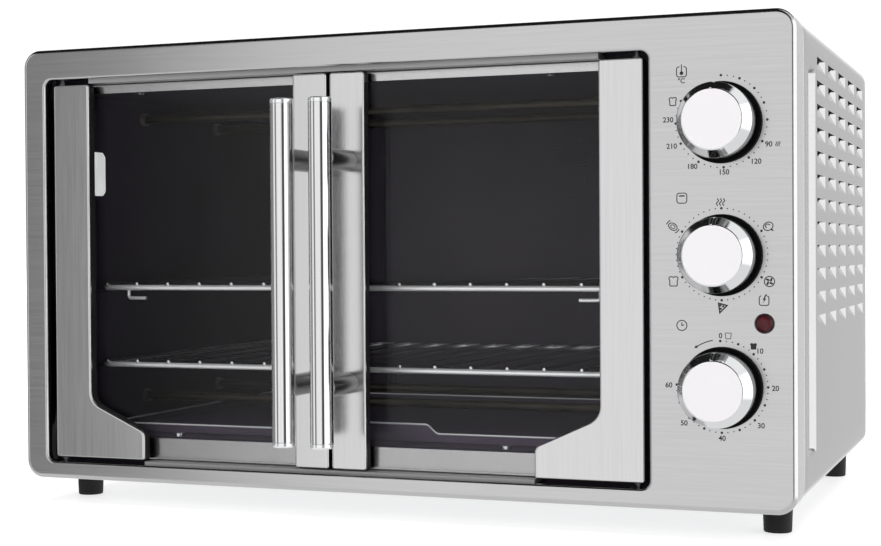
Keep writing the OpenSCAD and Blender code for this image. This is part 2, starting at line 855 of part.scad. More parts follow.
module hinge_brackets() {
  color(galvanised) {
    left_door() hinge_bracket(bracket_top_z, 1);
    left_door() hinge_bracket(bracket_low_z, -1);
    right_door() hinge_bracket(bracket_top_z, 1);
    right_door() hinge_bracket(bracket_low_z, -1);
  }
}

// The upper pin, and the lower pin with the drum that the cables run round
module hinge_pins() {
  top = [door_z1 - hinge_block_h, bracket_top_z + bracket_t + pin_tail];
  low = [drum_z0, door_z0 + hinge_block_h];
  rod_along_z(pivot_x, pivot_y, top, pin_d);
  rod_along_z(pivot_x, pivot_y, [door_z1, door_z1 + pin_collar_h], pin_collar_d);
  rod_along_z(pivot_x, pivot_y, low, pin_d);
  rod_along_z(pivot_x, pivot_y, [door_z0 - pin_collar_h, door_z0], pin_collar_d);
  rod_along_z(pivot_x, pivot_y, [drum_z0, drum_z1], drum_d);
}

module left_hinge_pins() {
  color(chrome) left_door() hinge_pins();
}

module right_hinge_pins() {
  color(chrome) right_door() hinge_pins();
}

// One cable's path: part of a turn round the left drum, a slanting run, and a turn round the right drum
function cable_path(slant) =
  let (turn = arc([pivot_x, 0], cable_r, [cable_angle - 90 - cable_wrap, cable_angle - 90], cable_steps))
  [for (p = concat(turn, [for (i = [cable_steps : -1 : 0]) -turn[i]])) [p[0], slant * p[1]]];

// A round tube that follows a path in one level plane
module level_tube(path, d) {
  last = len(path) - 1;
  sides = cable_sides;
  points = [
    for (i = [0 : last])
      let (run = path[min(i + 1, last)] - path[max(i - 1, 0)], way = run / norm(run))
        for (j = [0 : sides - 1])
          let (t = 360 * j / sides)
            [path[i][0] - way[1] * cos(t) * d / 2, path[i][1] + way[0] * cos(t) * d / 2, sin(t) * d / 2]
  ];
  walls = [
    for (i = [0 : last - 1], j = [0 : sides - 1])
      let (k = (j + 1) % sides) [i * sides + j, (i + 1) * sides + j, (i + 1) * sides + k, i * sides + k]
  ];
  first_end = [for (j = [0 : sides - 1]) j];
  last_end = [for (j = [sides - 1 : -1 : 0]) last * sides + j];
  polyhedron(points, concat(walls, [first_end], [last_end]));
}

module sync_cables() {
  color(light_steel) place() translate([open_mid, 0, 0]) {
    translate([0, pivot_y, drum_z0 + drum_h / 4]) level_tube(cable_path(1), cable_d);
    translate([0, pivot_y, drum_z0 + drum_h * 3 / 4]) level_tube(cable_path(-1), cable_d);
  }
}

// Doors

// Outline of the hinged strip with its foot, drawn in by an inset all round
function hinged_strip(inset) =
  let (
    slope = atan2(gusset_root_h - gusset_tip_h, gusset_w - outer_strip_w),
    tip_r = gusset_tip_r - inset,
    root_r = gusset_root_r + inset,
    x0 = door_x0 + inset,
    x1 = outer_strip_x1 - inset,
    x2 = door_x0 + gusset_w - inset,
    z0 = door_z0 + inset,
    z1 = door_z1 - inset,
    drop = inset / cos(slope),
    slope_z = function (x) door_z0 + gusset_tip_h + (door_x0 + gusset_w - x) * tan(slope) - drop,
    tip_c = [x2 - tip_r, slope_z(x2 - tip_r) - tip_r / cos(slope)],
    root_c = [x1 + root_r, slope_z(x1 + root_r) + root_r / cos(slope)]
  )
  concat(
    [[x0, z0], [x2, z0]],
    arc(tip_c, tip_r, [0, 90 - slope]),
    arc(root_c, root_r, [270 - slope, 180]),
    [[x1, z1], [x0, z1]]
  );

module strip_shell(outer, inner) {
  deep([strip_y0, strip_y1]) polygon(outer);
  difference() {
    deep([strip_y0, glass_y0]) polygon(outer);
    deep([strip_y0 - cut, glass_y0 + cut]) polygon(inner);
  }
}

module outer_strip() {
  block_x = [door_x0, door_x0 + hinge_block_w];
  difference() {
    union() {
      strip_shell(hinged_strip(0), hinged_strip(strip_sheet));
      for (z = [[door_z0, door_z0 + hinge_block_h], [door_z1 - hinge_block_h, door_z1]])
        box(block_x, [strip_y0, glass_y0], z);
    }
    rod_along_z(pivot_x, pivot_y, [door_z0 - cut, door_z0 + hinge_block_h + cut], pin_d + 2 * fit);
    rod_along_z(pivot_x, pivot_y, [door_z1 - hinge_block_h - cut, door_z1 + cut], pin_d + 2 * fit);
  }
}

module post_holes(y, d) {
  for (z = [bar_mid_z - post_pitch / 2, bar_mid_z + post_pitch / 2]) rod_along_y(inner_strip_mid, y, z, d);
}

module inner_strip() {
  x = [inner_strip_x0, door_x1];
  z = [door_z0, door_z1];
  in_x = x + [strip_sheet, -strip_sheet];
  in_z = z + [strip_sheet, -strip_sheet];
  difference() {
    box(x, [strip_y0, glass_y0], z);
    box(in_x, [strip_y1, glass_y0 + cut], in_z);
    post_holes([strip_y0 - cut, strip_y1 + cut], handle_screw_d + 2 * fit);
  }
}

module door_glass() {
  difference() {
    box([glass_x0, glass_x1], [glass_y0, glass_y1], [door_z0 + strip_sheet, door_z1 - strip_sheet]);
    post_holes([glass_y0 - cut, glass_y1 + cut], handle_screw_d + 2 * glass_hole_gap);
  }
}

module top_rail() {
  box([glass_x0, glass_x1], [glass_y1, rail_y1], [door_z1 - top_rail_h, door_z1]);
  box([glass_x0, glass_x1], [glass_y1, rail_y2], [door_z1 - strip_sheet, door_z1]);
}

module bottom_rail() {
  box([glass_x0, glass_x1], [glass_y1, rail_y1], [door_z0, door_z0 + bottom_rail_h]);
  box([glass_x0, glass_x1], [glass_y1, rail_y2], [door_z0, door_z0 + strip_sheet]);
}

module handle_bar() {
  difference() {
    rod_along_z(inner_strip_mid, bar_y, [bar_z0 + bar_cap_h, bar_z1 - bar_cap_h], bar_d);
    rod_along_z(inner_strip_mid, bar_y, [bar_z0, bar_z1], bar_d - 2 * bar_wall);
    post_holes([bar_y, bar_y + bar_d], handle_screw_d + 2 * fit);
  }
}

module handle_caps() {
  plug_d = bar_d - 2 * bar_wall - 2 * fit;
  for (up = [0, 1]) translate([inner_strip_mid, bar_y, bar_mid_z]) mirror([0, 0, up])
    translate([0, 0, -bar_l / 2]) {
      cylinder(h = bar_cap_h, d = bar_d);
      cylinder(h = bar_cap_h + cap_plug_h, d = plug_d);
    }
}

module handle_posts() {
  difference() {
    post_holes([bar_y, strip_y0], post_d);
    rod_along_z(inner_strip_mid, bar_y, [bar_z0, bar_z1], bar_d + 2 * fit);
    post_holes([bar_y - cut, strip_y0 + cut], handle_screw_d + 2 * fit);
  }
}

module handle_screws() {
  post_holes(
    [bar_y + bar_d / 2 - bar_wall - handle_screw_tail, glass_y1 + handle_screw_head_h], handle_screw_d);
  post_holes([glass_y1, glass_y1 + handle_screw_head_h], handle_screw_head_d);
}

module left_outer_strip() {
  color(light_steel) left_door() outer_strip();
}

module left_inner_strip() {
  color(light_steel) left_door() inner_strip();
}

module left_glass() {
  color([0.75, 0.82, 0.84, 0.3]) left_door() door_glass();
}

module left_top_rail() {
  color(steel) left_door() top_rail();
}

module left_bottom_rail() {
  color(steel) left_door() bottom_rail();
}

module left_handle_bar() {
  color(chrome) left_door() handle_bar();
}

module left_handle_caps() {
  color(chrome) left_door() handle_caps();
}

module left_handle_posts() {
  color(galvanised) left_door() handle_posts();
}

module left_handle_screws() {
  color(chrome) left_door() handle_screws();
}

module right_outer_strip() {
  color(light_steel) right_door() outer_strip();
}

module right_inner_strip() {
  color(light_steel) right_door() inner_strip();
}

module right_glass() {
  color([0.75, 0.82, 0.84, 0.3]) right_door() door_glass();
}

module right_top_rail() {
  color(steel) right_door() top_rail();
}

module right_bottom_rail() {
  color(steel) right_door() bottom_rail();
}

module right_handle_bar() {
  color(chrome) right_door() handle_bar();
}

module right_handle_caps() {
  color(chrome) right_door() handle_caps();
}

module right_handle_posts() {
  color(galvanised) right_door() handle_posts();
}

module right_handle_screws() {
  color(chrome) right_door() handle_screws();
}

// Dials

// A knob turned about its shaft: a tapered skirt, a bevel and a flat face, with a pointer notch at the top
module knob(z) {
  base_r = knob_d / 2;
  face_r = knob_face_d / 2;
  color(chrome) place() translate([dial_x, 0, z]) rotate([90, 0, 0]) difference() {
    rotate_extrude() polygon([
      [0, knob_gap], [base_r, knob_gap], [base_r - knob_taper, knob_l - knob_bevel],
      [face_r, knob_l], [0, knob_l]
    ]);
    cylinder(h = knob_gap + shaft_in_knob, d = shaft_d + 2 * fit);
    translate([-pointer_w / 2, face_r, knob_l - knob_bevel])
      rotate([atan2(knob_bevel, base_r - knob_taper - face_r) - 90, 0, 0])
        translate([0, 0, -pointer_depth]) cube([pointer_w, base_r, knob_bevel * 2]);
  }
}

module shaft(z) {
  color(galvanised) place()
    rod_along_y(dial_x, [-knob_gap - shaft_in_knob + 1, bulkhead_y1 + shaft_in_control], z, shaft_d);
}

// A control on the back of the bulkhead: its body, its collar and the bore for its shaft
module control(z, body_depth) {
  difference() {
    union() {
      children();
      rod_along_y(dial_x, [bulkhead_y0 - collar_l, bulkhead_y1 + 2], z, collar_d);
    }
    rod_along_y(dial_x, [bulkhead_y0 - collar_l - cut, bulkhead_y1 + shaft_in_control + shaft_end_gap], z,
      shaft_d + 2 * fit);
  }
}

module control_box(z, w, d, h) {
  box([dial_x - w / 2, dial_x + w / 2], [bulkhead_y1, bulkhead_y1 + d], [z - h / 2, z + h / 2]);
}

module thermostat() {
  z = dial_z[0];
  color(galvanised) place() control(z) {
    control_box(z, thermostat_w, thermostat_d, thermostat_h);
    for (dx = [-tab_pitch, 0, tab_pitch])
      box([dial_x + dx - tab_w / 2, dial_x + dx + tab_w / 2],
        [bulkhead_y1 + thermostat_d - tab_root, bulkhead_y1 + thermostat_d + tab_l],
        [z - tab_drop, z - tab_drop + tab_t]);
  }
}

module function_switch() {
  z = dial_z[1];
  color(ceramic_white) place() control(z) {
    rod_along_y(dial_x, [bulkhead_y1, bulkhead_y1 + switch_l], z, switch_d);
    for (i = [0 : switch_pins - 1]) {
      turn = 360 * i / switch_pins;
      rod_along_y(dial_x + switch_pin_r * cos(turn),
        [bulkhead_y1 + switch_l - tab_root, bulkhead_y1 + switch_l + switch_pin_l],
        z + switch_pin_r * sin(turn), switch_pin_d);
    }
  }
}

module timer() {
  z = dial_z[2];
  color(galvanised) place() control(z) {
    control_box(z, timer_w, timer_d, timer_h);
    rod_along_y(dial_x, [bulkhead_y1 + timer_d - tab_root, bulkhead_y1 + timer_d + bell_l], z, bell_d);
  }
}

module temperature_knob() {
  knob(dial_z[0]);
}

module function_knob() {
  knob(dial_z[1]);
}

module timer_knob() {
  knob(dial_z[2]);
}

module temperature_shaft() {
  shaft(dial_z[0]);
}

module function_shaft() {
  shaft(dial_z[1]);
}

module timer_shaft() {
  shaft(dial_z[2]);
}

// A low dome with a stem through the fascia
module indicator_lens() {
  r = lamp_d / 2;
  dome_r = (r * r + lamp_dome_h * lamp_dome_h) / (2 * lamp_dome_h);
  color([0.35, 0.03, 0.05]) place() translate([lamp_x, 0, lamp_z]) rotate([90, 0, 0]) {
    intersection() {
      translate([0, 0, lamp_dome_h - dome_r]) sphere(dome_r);
      cylinder(h = 2 * lamp_dome_h, r = r + cut);
    }
    translate([0, 0, -lamp_stem]) cylinder(h = lamp_stem + lamp_dome_h / 4, r = r - lamp_rim);
  }
}

// Racks and tray

// A closed frame of wire with bent corners
module wire_frame(z) {
  d = frame_wire_d;
  rod_along_x([rack_x0 + rack_bend, rack_x1 - rack_bend], rack_y0, z, d);
  rod_along_x([rack_x0 + rack_bend, rack_x1 - rack_bend], rack_y1, z, d);
  rod_along_y(rack_x0, [rack_y0 + rack_bend, rack_y1 - rack_bend], z, d);
  rod_along_y(rack_x1, [rack_y0 + rack_bend, rack_y1 - rack_bend], z, d);
  corners = [
    [rack_x1 - rack_bend, rack_y1 - rack_bend, 0], [rack_x0 + rack_bend, rack_y1 - rack_bend, 90],
    [rack_x0 + rack_bend, rack_y0 + rack_bend, 180], [rack_x1 - rack_bend, rack_y0 + rack_bend, 270]
  ];
  for (c = corners) translate([c[0], c[1], z]) rotate([0, 0, c[2]])
    rotate_extrude(angle = 90) translate([rack_bend, 0]) circle(d = d);
}

module rack(z) {
  wire_z = z + (frame_wire_d + cross_wire_d) / 2 - cross_sink;
  y = [rack_y0 - frame_wire_d / 2, rack_y1 + frame_wire_d / 2];
  wire_frame(z);
  for (i = [0 : cross_wires - 1])
    rod_along_y(cav_mid + (i - (cross_wires - 1) / 2) * cross_pitch, y, wire_z, cross_wire_d);
}

// A wire turned down and in under the rack's front, which stops the rack from tipping
module rack_hook(z) {
  x = rack_x0 + hook_in;
  y = rack_y0 + hook_y_in;
  d = cross_wire_d;
  rod_along_y(x, [rack_y0, y], z, d);
  rod_along_z(x, y, [z - hook_drop, z + d / 4], d * 0.9);
  rod_along_x([x - d / 3, x + hook_run], y, z - hook_drop, d * 0.8);
}

module upper_rack() {
  color(chrome) place() {
    rack(upper_rack_z);
    rack_hook(upper_rack_z);
    translate([2 * cav_mid, 0, 0]) mirror([1, 0, 0]) rack_hook(upper_rack_z);
  }
}

module lower_rack() {
  color(chrome) place() rack(lower_rack_z);
}

module crumb_tray() {
  x = [tray_x0, tray_x1];
  y = [tray_y0, tray_y1];
  grip_x = [cav_mid - tray_grip_l / 2, cav_mid + tray_grip_l / 2];
  color(dark_enamel) place() {
    difference() {
      box(x, y, [tray_z, tray_z + tray_rim]);
      box(x + [sheet, -sheet], y + [sheet, -sheet], [tray_z + sheet, tray_z + tray_rim + cut]);
    }
    deep([tray_y0, tray_y0 + sheet]) polygon([
      [grip_x[0] - tray_grip_slope, tray_z + sheet], [grip_x[1] + tray_grip_slope, tray_z + sheet],
      [grip_x[1] + tray_grip_slope, tray_z + tray_rim], [grip_x[1], tray_z + tray_grip_h],
      [grip_x[0], tray_z + tray_grip_h], [grip_x[0] - tray_grip_slope, tray_z + tray_rim]
    ]);
  }
}

// Mains side

module terminal_block() {
  x = gland_x - terminal_w / 2;
  y = panel_y1 - terminal_rear;
  way = terminal_w / terminal_ways;
  color(ceramic_white) place() difference() {
    box([x, x + terminal_w], [y, y + terminal_d], [base_top, base_top + terminal_h]);
    for (i = [0 : terminal_ways - 1])
      rod_along_z(x + way * (i + 0.5), y + terminal_d / 2,
        [base_top + terminal_h / 2, base_top + terminal_h + cut], terminal_hole_d);
  }
}

module cable_gland() {
  color(black_rubber) place() difference() {
    union() {
      rod_along_y(gland_x, [panel_y1 - gland_in, body_d + gland_out], gland_z, gland_d);
      rod_along_y(gland_x, [body_d, body_d + gland_flange_t], gland_z, gland_flange_d);
    }
    rod_along_y(gland_x, [panel_y1 - gland_in - cut, body_d + gland_out + cut], gland_z, gland_bore);
  }
}

front_fascia();
front_bulkhead();
left_side_panel();
right_side_panel();
top_panel();
base_plate();
rear_cover();
cavity_left_wall();
cavity_right_wall();
cavity_ceiling();
cavity_floor();
cavity_back_wall();
rack_guides();
upper_heating_rods();
lower_heating_rods();
rod_insulators();
rubber_feet();
cabinet_screws();
hinge_brackets();
thermostat();
function_switch();
timer();
indicator_lens();
fan_housing();
fan_motor();
oven_lamp_lens();
oven_lamp_holder();
terminal_block();
cable_gland();
sync_cables();
left_outer_strip();
left_inner_strip();
left_glass();
left_top_rail();
left_bottom_rail();
left_handle_bar();
left_handle_caps();
left_handle_posts();
left_handle_screws();
left_hinge_pins();
right_outer_strip();
right_inner_strip();
right_glass();
right_top_rail();
right_bottom_rail();
right_handle_bar();
right_handle_caps();
right_handle_posts();
right_handle_screws();
right_hinge_pins();
temperature_knob();
temperature_shaft();
function_knob();
function_shaft();
timer_knob();
timer_shaft();
convection_fan();
upper_rack();
lower_rack();
crumb_tray();
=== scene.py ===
from math import cos, pi, radians, sin

import bmesh
import bpy
import numpy as np
from bpy.props import FloatProperty, FloatVectorProperty, IntProperty, PointerProperty
from mathutils import Matrix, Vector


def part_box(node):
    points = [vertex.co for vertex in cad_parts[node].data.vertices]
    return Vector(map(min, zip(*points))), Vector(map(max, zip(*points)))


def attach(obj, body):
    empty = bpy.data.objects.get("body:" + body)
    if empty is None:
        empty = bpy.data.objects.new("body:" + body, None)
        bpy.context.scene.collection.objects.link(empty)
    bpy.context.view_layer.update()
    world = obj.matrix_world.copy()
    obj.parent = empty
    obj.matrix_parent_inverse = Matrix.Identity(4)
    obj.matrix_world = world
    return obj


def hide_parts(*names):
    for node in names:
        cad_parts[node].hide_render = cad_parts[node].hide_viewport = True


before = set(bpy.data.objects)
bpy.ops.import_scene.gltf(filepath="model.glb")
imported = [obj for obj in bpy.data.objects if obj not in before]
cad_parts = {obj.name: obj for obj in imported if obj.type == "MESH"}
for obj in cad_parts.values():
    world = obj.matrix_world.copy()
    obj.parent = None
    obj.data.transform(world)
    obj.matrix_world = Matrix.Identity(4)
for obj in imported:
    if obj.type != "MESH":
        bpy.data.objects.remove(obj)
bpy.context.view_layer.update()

bl_info = {
    "name": "Countertop oven",
    "version": (1, 0, 0),
    "blender": (4, 5, 0),
    "location": "View3D > Sidebar > Oven",
    "description": "Dresses the packed countertop oven: cabinet, glass doors, dials, racks and studio",
    "category": "Object",
}

MM = 0.001
# Lengths below are millimetres from the lower front edge of the fascia, under its middle
BASE = np.array([0.0, *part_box("front_fascia")[0][1:]])
# The doors, with the sign that mirrors the left one's strips for each
DOORS = (("left", 1.0), ("right", -1.0))
DIALS = ("temperature", "function", "timer")
LEVELS = ("upper", "lower")
SHEET = 0.5
# Points of a mesh that lie closer together than this, in metres, become one
WELD = 2e-6


def node_box(node):
    """A node's low and high corners in millimetres of the fascia's own frame."""
    low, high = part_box(node)
    return (np.array(low) - BASE) / MM, (np.array(high) - BASE) / MM


def face_middle(node):
    """The middle (x, z) of a node as seen from the front."""
    low, high = node_box(node)
    return (low + high)[[0, 2]] / 2


# Curves and surfaces


def unit(v):
    """Vectors brought to the length one."""
    return v / np.linalg.norm(v, axis=-1, keepdims=True)


def outline(corners, radii, steps=8):
    """Closed line round a polygon with rounded corners, as points and outward normals.

    A corner is an arc about the point that lies one radius inside both of its edges, or outside them
    where the corner is hollow, and its normal turns evenly from the first edge's to the second's.
    """
    c, r = np.asarray(corners, float), np.asarray(radii, float)
    come, leave = unit(c - np.roll(c, 1, 0)), unit(np.roll(c, -1, 0) - c)
    n0, n1 = np.stack([come[:, 1], -come[:, 0]], 1), np.stack([leave[:, 1], -leave[:, 0]], 1)
    turn = np.arctan2(come[:, 0] * leave[:, 1] - come[:, 1] * leave[:, 0], (come * leave).sum(1))
    side = np.sign(turn) * r
    centre = c - side[:, None] * (n0 + n1) / (1 + (n0 * n1).sum(1))[:, None]
    angle = np.arctan2(n0[:, 1], n0[:, 0])[:, None] + turn[:, None] * np.linspace(0, 1, steps + 1)
    normal = np.stack([np.cos(angle), np.sin(angle)], -1)
    points = centre[:, None] + side[:, None, None] * normal
    return points.reshape(-1, 2), normal.reshape(-1, 2)


def rounded_line(corners, radii, steps=6):
    """Open line with rounded corners: the closed one's points, with its two ends left sharp."""
    points, _ = outline(corners, [0, *radii, 0], steps)
    return points[steps:-steps]


def rectangle(x, z, r, steps=8):
    """Closed line round a rectangle whose corners have one radius."""
    return outline([(x[0], z[0]), (x[1], z[0]), (x[1], z[1]), (x[0], z[1])], [r] * 4, steps)


def both_ends(end, low, high):
    """A profile of (radius, distance from an end), laid out from the low end and mirrored at the high one."""
    return [(r, low + way) for r, way in end] + [(r, high - way) for r, way in end[::-1]]


def bowed(start, end, bow, steps=4):
    """Line of (radius, height) from start to end, swollen outwards by bow times the sine of the way along."""
    way = np.linspace(0, 1, steps + 1)[:, None]
    line = np.array(start) * (1 - way) + np.array(end) * way
    line[:, 0] += bow * np.sin(pi * way[:, 0])
    return line


def stood(flat, y):
    """Flat points (x, z) stood upright at the depth y."""
    return np.stack([flat[..., 0], np.broadcast_to(y, flat.shape[:-1]), flat[..., 1]], -1)


def rings(loop, profile):
    """A profile of (inset, depth) carried round a loop: each ring is the loop less inset times normal."""
    points, normals = loop
    inset, depth = np.asarray(profile, float).T
    return stood(points[None] - inset[:, None, None] * normals[None], depth[:, None])


def full_turn(sides):
    """Angles of points spread evenly round a circle."""
    return np.linspace(0, 2 * pi, sides, endpoint=False)


def revolved(profile, centre, axis, sides=64):
    """A profile of (radius, height) turned round an axis: radius times cosine and sine, beside height."""
    r, h = np.asarray(profile, float).T
    turn = full_turn(sides)
    a, b = r[:, None] * np.cos(turn), r[:, None] * np.sin(turn)
    height = np.broadcast_to(h[:, None], a.shape)
    place = {"x": (height, a, b), "y": (b, height, a), "z": (a, b, height)}[axis]
    return np.stack(place, -1) + np.asarray(centre, float)


def tube(path, radius, up, sides):
    """A round section along a flat path: cosine times the path's side plus sine times its plane's normal."""
    p, up = np.asarray(path, float), np.asarray(up, float)
    side = unit(np.cross(unit(np.gradient(p, axis=0)), up))
    turn = full_turn(sides)[None, :, None]
    return p[:, None] + radius * (np.cos(turn) * side[:, None] + np.sin(turn) * up)


def hoop(line, z, radius, sides):
    """A tube round a closed line of (x, y) at the height z, with its ends turned alike so that they meet."""
    path = np.column_stack([line, np.broadcast_to(z, len(line))])
    return tube(np.concatenate([path[-1:], path, path[:1]]), radius, (0, 0, 1), sides)[1:-1]


def grid_faces(rows, cols, wrap_rows=False, wrap_cols=False):
    """Four-sided faces between the neighbouring points of a grid."""
    r, c = np.meshgrid(np.arange(rows - (not wrap_rows)), np.arange(cols - (not wrap_cols)), indexing="ij")
    r1, c1 = (r + 1) % rows, (c + 1) % cols
    return np.stack([r * cols + c, r * cols + c1, r1 * cols + c1, r1 * cols + c], -1).reshape(-1, 4)


def smooth(t):
    """Eased step from 0 to 1: three t squared less two t cubed."""
    t = np.clip(t, 0, 1)
    return t * t * (3 - 2 * t)


def sharpen_rims(mesh):
    """Keeps a sheet's open edges sharp, so that the faces of its thickness don't bend its shading."""
    edge_of, sharp = np.empty(len(mesh.loops), np.int32), np.empty(len(mesh.edges), bool)
    mesh.loops.foreach_get("edge_index", edge_of)
    mesh.edges.foreach_get("use_edge_sharp", sharp)
    mesh.edges.foreach_set("use_edge_sharp", sharp | (np.bincount(edge_of, minlength=len(sharp)) == 1))


class Shape:
    """Points and faces of one piece, gathered from whole arrays and then made a mesh."""

    def __init__(self):
        self.points, self.faces, self.finish, self.count = [], [], [], 0

    def add(self, points, faces, finish=0):
        points, faces = np.asarray(points, float).reshape(-1, 3), np.asarray(faces)
        self.points.append(points)
        self.faces += (faces + self.count).tolist()
        self.finish.append(np.broadcast_to(finish, len(faces)))
        self.count += len(points)
        return self

    def skin(self, grid, closed=False, caps=True, finish=0):
        """A stack of rings, open with a face over each end, or closed on itself."""
        rows, cols = grid.shape[:2]
        count = self.count
        self.add(grid, grid_faces(rows, cols, closed, True), finish)
        if caps and not closed:
            ends = [np.arange(cols), np.arange(cols) + (rows - 1) * cols]
            self.faces += [(end + count).tolist() for end in ends]
            self.finish.append(np.broadcast_to(finish, (rows - 1) * cols)[[0, -1]])
        return self

    def build(self, name, body, slot, finishes, nodes=(), sharp=35.0, shell=True, wall=0.0):
        """Makes the mesh and hangs it on a body, in place of the nodes that it stands for.

        A shell's faces all turn outwards, an edge that bends by more than sharp degrees stays sharp, and a
        wall gives an open sheet its thickness.
        """
        mesh = bpy.data.meshes.new(name)
        points = np.concatenate(self.points) * MM + BASE
        mesh.from_pydata(points.tolist(), [], self.faces)
        mesh.polygons.foreach_set("material_index", np.concatenate(self.finish).astype(np.int32))
        b = bmesh.new()
        b.from_mesh(mesh)
        bmesh.ops.remove_doubles(b, verts=b.verts, dist=WELD)
        if shell:
            bmesh.ops.recalc_face_normals(b, faces=b.faces)
        b.to_mesh(mesh)
        b.free()
        for finish in finishes:
            mesh.materials.append(finish)
        mesh.shade_smooth()
        mesh.set_sharp_from_angle(angle=radians(sharp))
        piece = bpy.data.objects.new(name, mesh)
        bpy.context.scene.collection.objects.link(piece)
        if wall:
            sharpen_rims(mesh)
            solid = piece.modifiers.new("wall", "SOLIDIFY")
            solid.thickness, solid.offset = wall * MM, -1.0
        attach(piece, body)
        if nodes:
            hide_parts(*nodes)
        return piece


# Finishes


def arithmetic(operation):
    """Methods that add a Math node, for a socket on the left and on the right of its sign."""
    return (lambda self, other: self.math(operation, self, other),
            lambda self, other: self.math(operation, other, self))


class Value:
    """A shader socket whose arithmetic adds Math nodes."""

    __add__, __radd__ = arithmetic("ADD")
    __sub__, __rsub__ = arithmetic("SUBTRACT")
    __mul__, __rmul__ = arithmetic("MULTIPLY")

    def __init__(self, finish, socket):
        self.finish, self.socket = finish, socket

    def math(self, operation, a, b):
        return self.finish.node("ShaderNodeMath", {"operation": operation}, {0: a, 1: b})

    def about(self, middle, span):
        """The middle plus span times how far this lies above a half."""
        return middle + (self - 0.5) * span


class Finish:
    """A material on Object coordinates, or a surround on the rays' directions, put together from nodes."""

    def __init__(self, name, kind="materials", place="Object"):
        self.made = getattr(bpy.data, kind).new(name)
        self.made.use_nodes = True
        self.tree = self.made.node_tree
        self.tree.nodes.clear()
        self.place = self.node("ShaderNodeTexCoord", out=place)

    def node(self, kind, settings=None, sockets=None, out=0):
        """A new node with its settings and its sockets' values or links, as one of its outputs."""
        node = self.tree.nodes.new(kind)
        for key, value in (settings or {}).items():
            if key == "stops":
                ramp = node.color_ramp.elements
                ramp.remove(ramp[-1])
                for i, (at, tone) in enumerate(value):
                    stop = ramp.new(at) if i else ramp[0]
                    stop.position, stop.color = at, (tone, tone, tone, 1.0)
            else:
                setattr(node, key, value)
        for key, value in (sockets or {}).items():
            match = [s for i, s in enumerate(node.inputs) if key in (i, s.identifier, s.name)]
            if not match:
                raise KeyError(f"{kind} has no socket {key}")
            if isinstance(value, Value):
                self.tree.links.new(value.socket, match[0])
            else:
                match[0].default_value = value
        return Value(self, node.outputs[out])

    def noise(self, scale, stretch=(1, 1, 1), detail=3.0):
        """Soft random cells, drawn out along the axes where stretch is small."""
        spread = self.node("ShaderNodeMapping", None, {"Vector": self.place, "Scale": tuple(stretch)})
        return self.node("ShaderNodeTexNoise", None, {"Vector": spread, "Scale": scale, "Detail": detail})

    def part(self, axis):
        """One coordinate of the place."""
        return self.node("ShaderNodeSeparateXYZ", None, {0: self.place}, out=axis)

    def spread(self, value, low=0.3, high=0.7):
        """Where low becomes 0 and high becomes 1."""
        sockets = {"Value": value, "From Min": low, "From Max": high}
        return self.node("ShaderNodeMapRange", {"clamp": True}, sockets)

    def mix(self, share, first, second):
        """Two colours mixed by share, each of them plain or a socket."""
        first, second = (c if isinstance(c, Value) else (*c, 1.0) for c in (first, second))
        sockets = {"Factor_Float": share, "A_Color": first, "B_Color": second}
        return self.node("ShaderNodeMix", {"data_type": "RGBA"}, sockets, out=2)

    def tones(self, share, colour, low, high):
        """Two shades of one colour, mixed by share."""
        return self.mix(share, shade(colour, low), shade(colour, high))

    def bump(self, height, strength, distance):
        """Relief of a height, over a distance in millimetres."""
        sockets = {"Height": height, "Strength": strength, "Distance": distance * MM}
        return self.node("ShaderNodeBump", None, sockets)

    def surface(self, **sockets):
        """A whole material of one surface, with low lines for the spaces in its sockets' names."""
        names = {key.replace("_", " "): value for key, value in sockets.items()}
        return self.output(self.node("ShaderNodeBsdfPrincipled", None, names))

    def output(self, shader, kind="ShaderNodeOutputMaterial"):
        end = self.tree.nodes.new(kind)
        self.tree.links.new(shader.socket, end.inputs[0])
        return self.made


def shade(colour, factor):
    """A colour times a factor, held between 0 and 1."""
    return tuple(min(1.0, max(0.0, c * factor)) for c in colour)


FINISHES = {}


def kept(maker):
    """Makes a finish once and keeps it for every piece that asks again."""

    def once(*key):
        if (maker.__name__, *key) not in FINISHES:
            FINISHES[(maker.__name__, *key)] = maker(*key)
        return FINISHES[(maker.__name__, *key)]

    return once


def looks():
    return bpy.context.scene.oven_looks


# Noise cells per metre along and across a brushed grain, for each way the grain runs
GRAIN = {"x": (18.0, 800.0, 800.0), "y": (800.0, 18.0, 800.0), "z": (800.0, 800.0, 18.0)}


@kept
def brushed_steel(name, along, tone, rough, metal=1.0):
    """Steel with long fine scratches one way, soft clouds, and a little relief in the scratches."""
    f = Finish(name)
    lines, clouds = f.noise(1.0, GRAIN[along], 4.0), f.noise(9.0)
    colour = f.tones(f.spread(lines * 0.6 + clouds * 0.4), looks().steel, tone * 0.93, tone * 1.02)
    return f.surface(Base_Color=colour, Metallic=metal, Normal=f.bump(lines, 0.02, 0.03),
                     Roughness=clouds.about(lines.about(rough, 0.06), 0.05))


@kept
def polished_steel(name):
    """Handle tube: bright steel with streaks along its length."""
    f = Finish(name)
    streaks, fine = f.noise(1.0, (420.0, 420.0, 3.0)), f.noise(1.0, (1500.0, 1500.0, 14.0), 2.0)
    colour = f.tones(f.spread(streaks * 0.6 + fine * 0.4), looks().steel, 1.16, 1.32)
    return f.surface(Base_Color=colour, Metallic=1.0, Roughness=fine.about(0.1, 0.05),
                     Normal=f.bump(fine, 0.04, 0.02))


@kept
def chrome(name, tone, rough, metal=1.0):
    """Bright plating with faint clouds in its gloss."""
    f = Finish(name)
    clouds, specks = f.noise(60.0), f.noise(900.0, detail=1.0)
    return f.surface(Base_Color=f.tones(clouds, looks().chrome, tone * 0.94, tone), Metallic=metal,
                     Roughness=clouds.about(rough, 0.05), Normal=f.bump(specks, 0.03, 0.02))


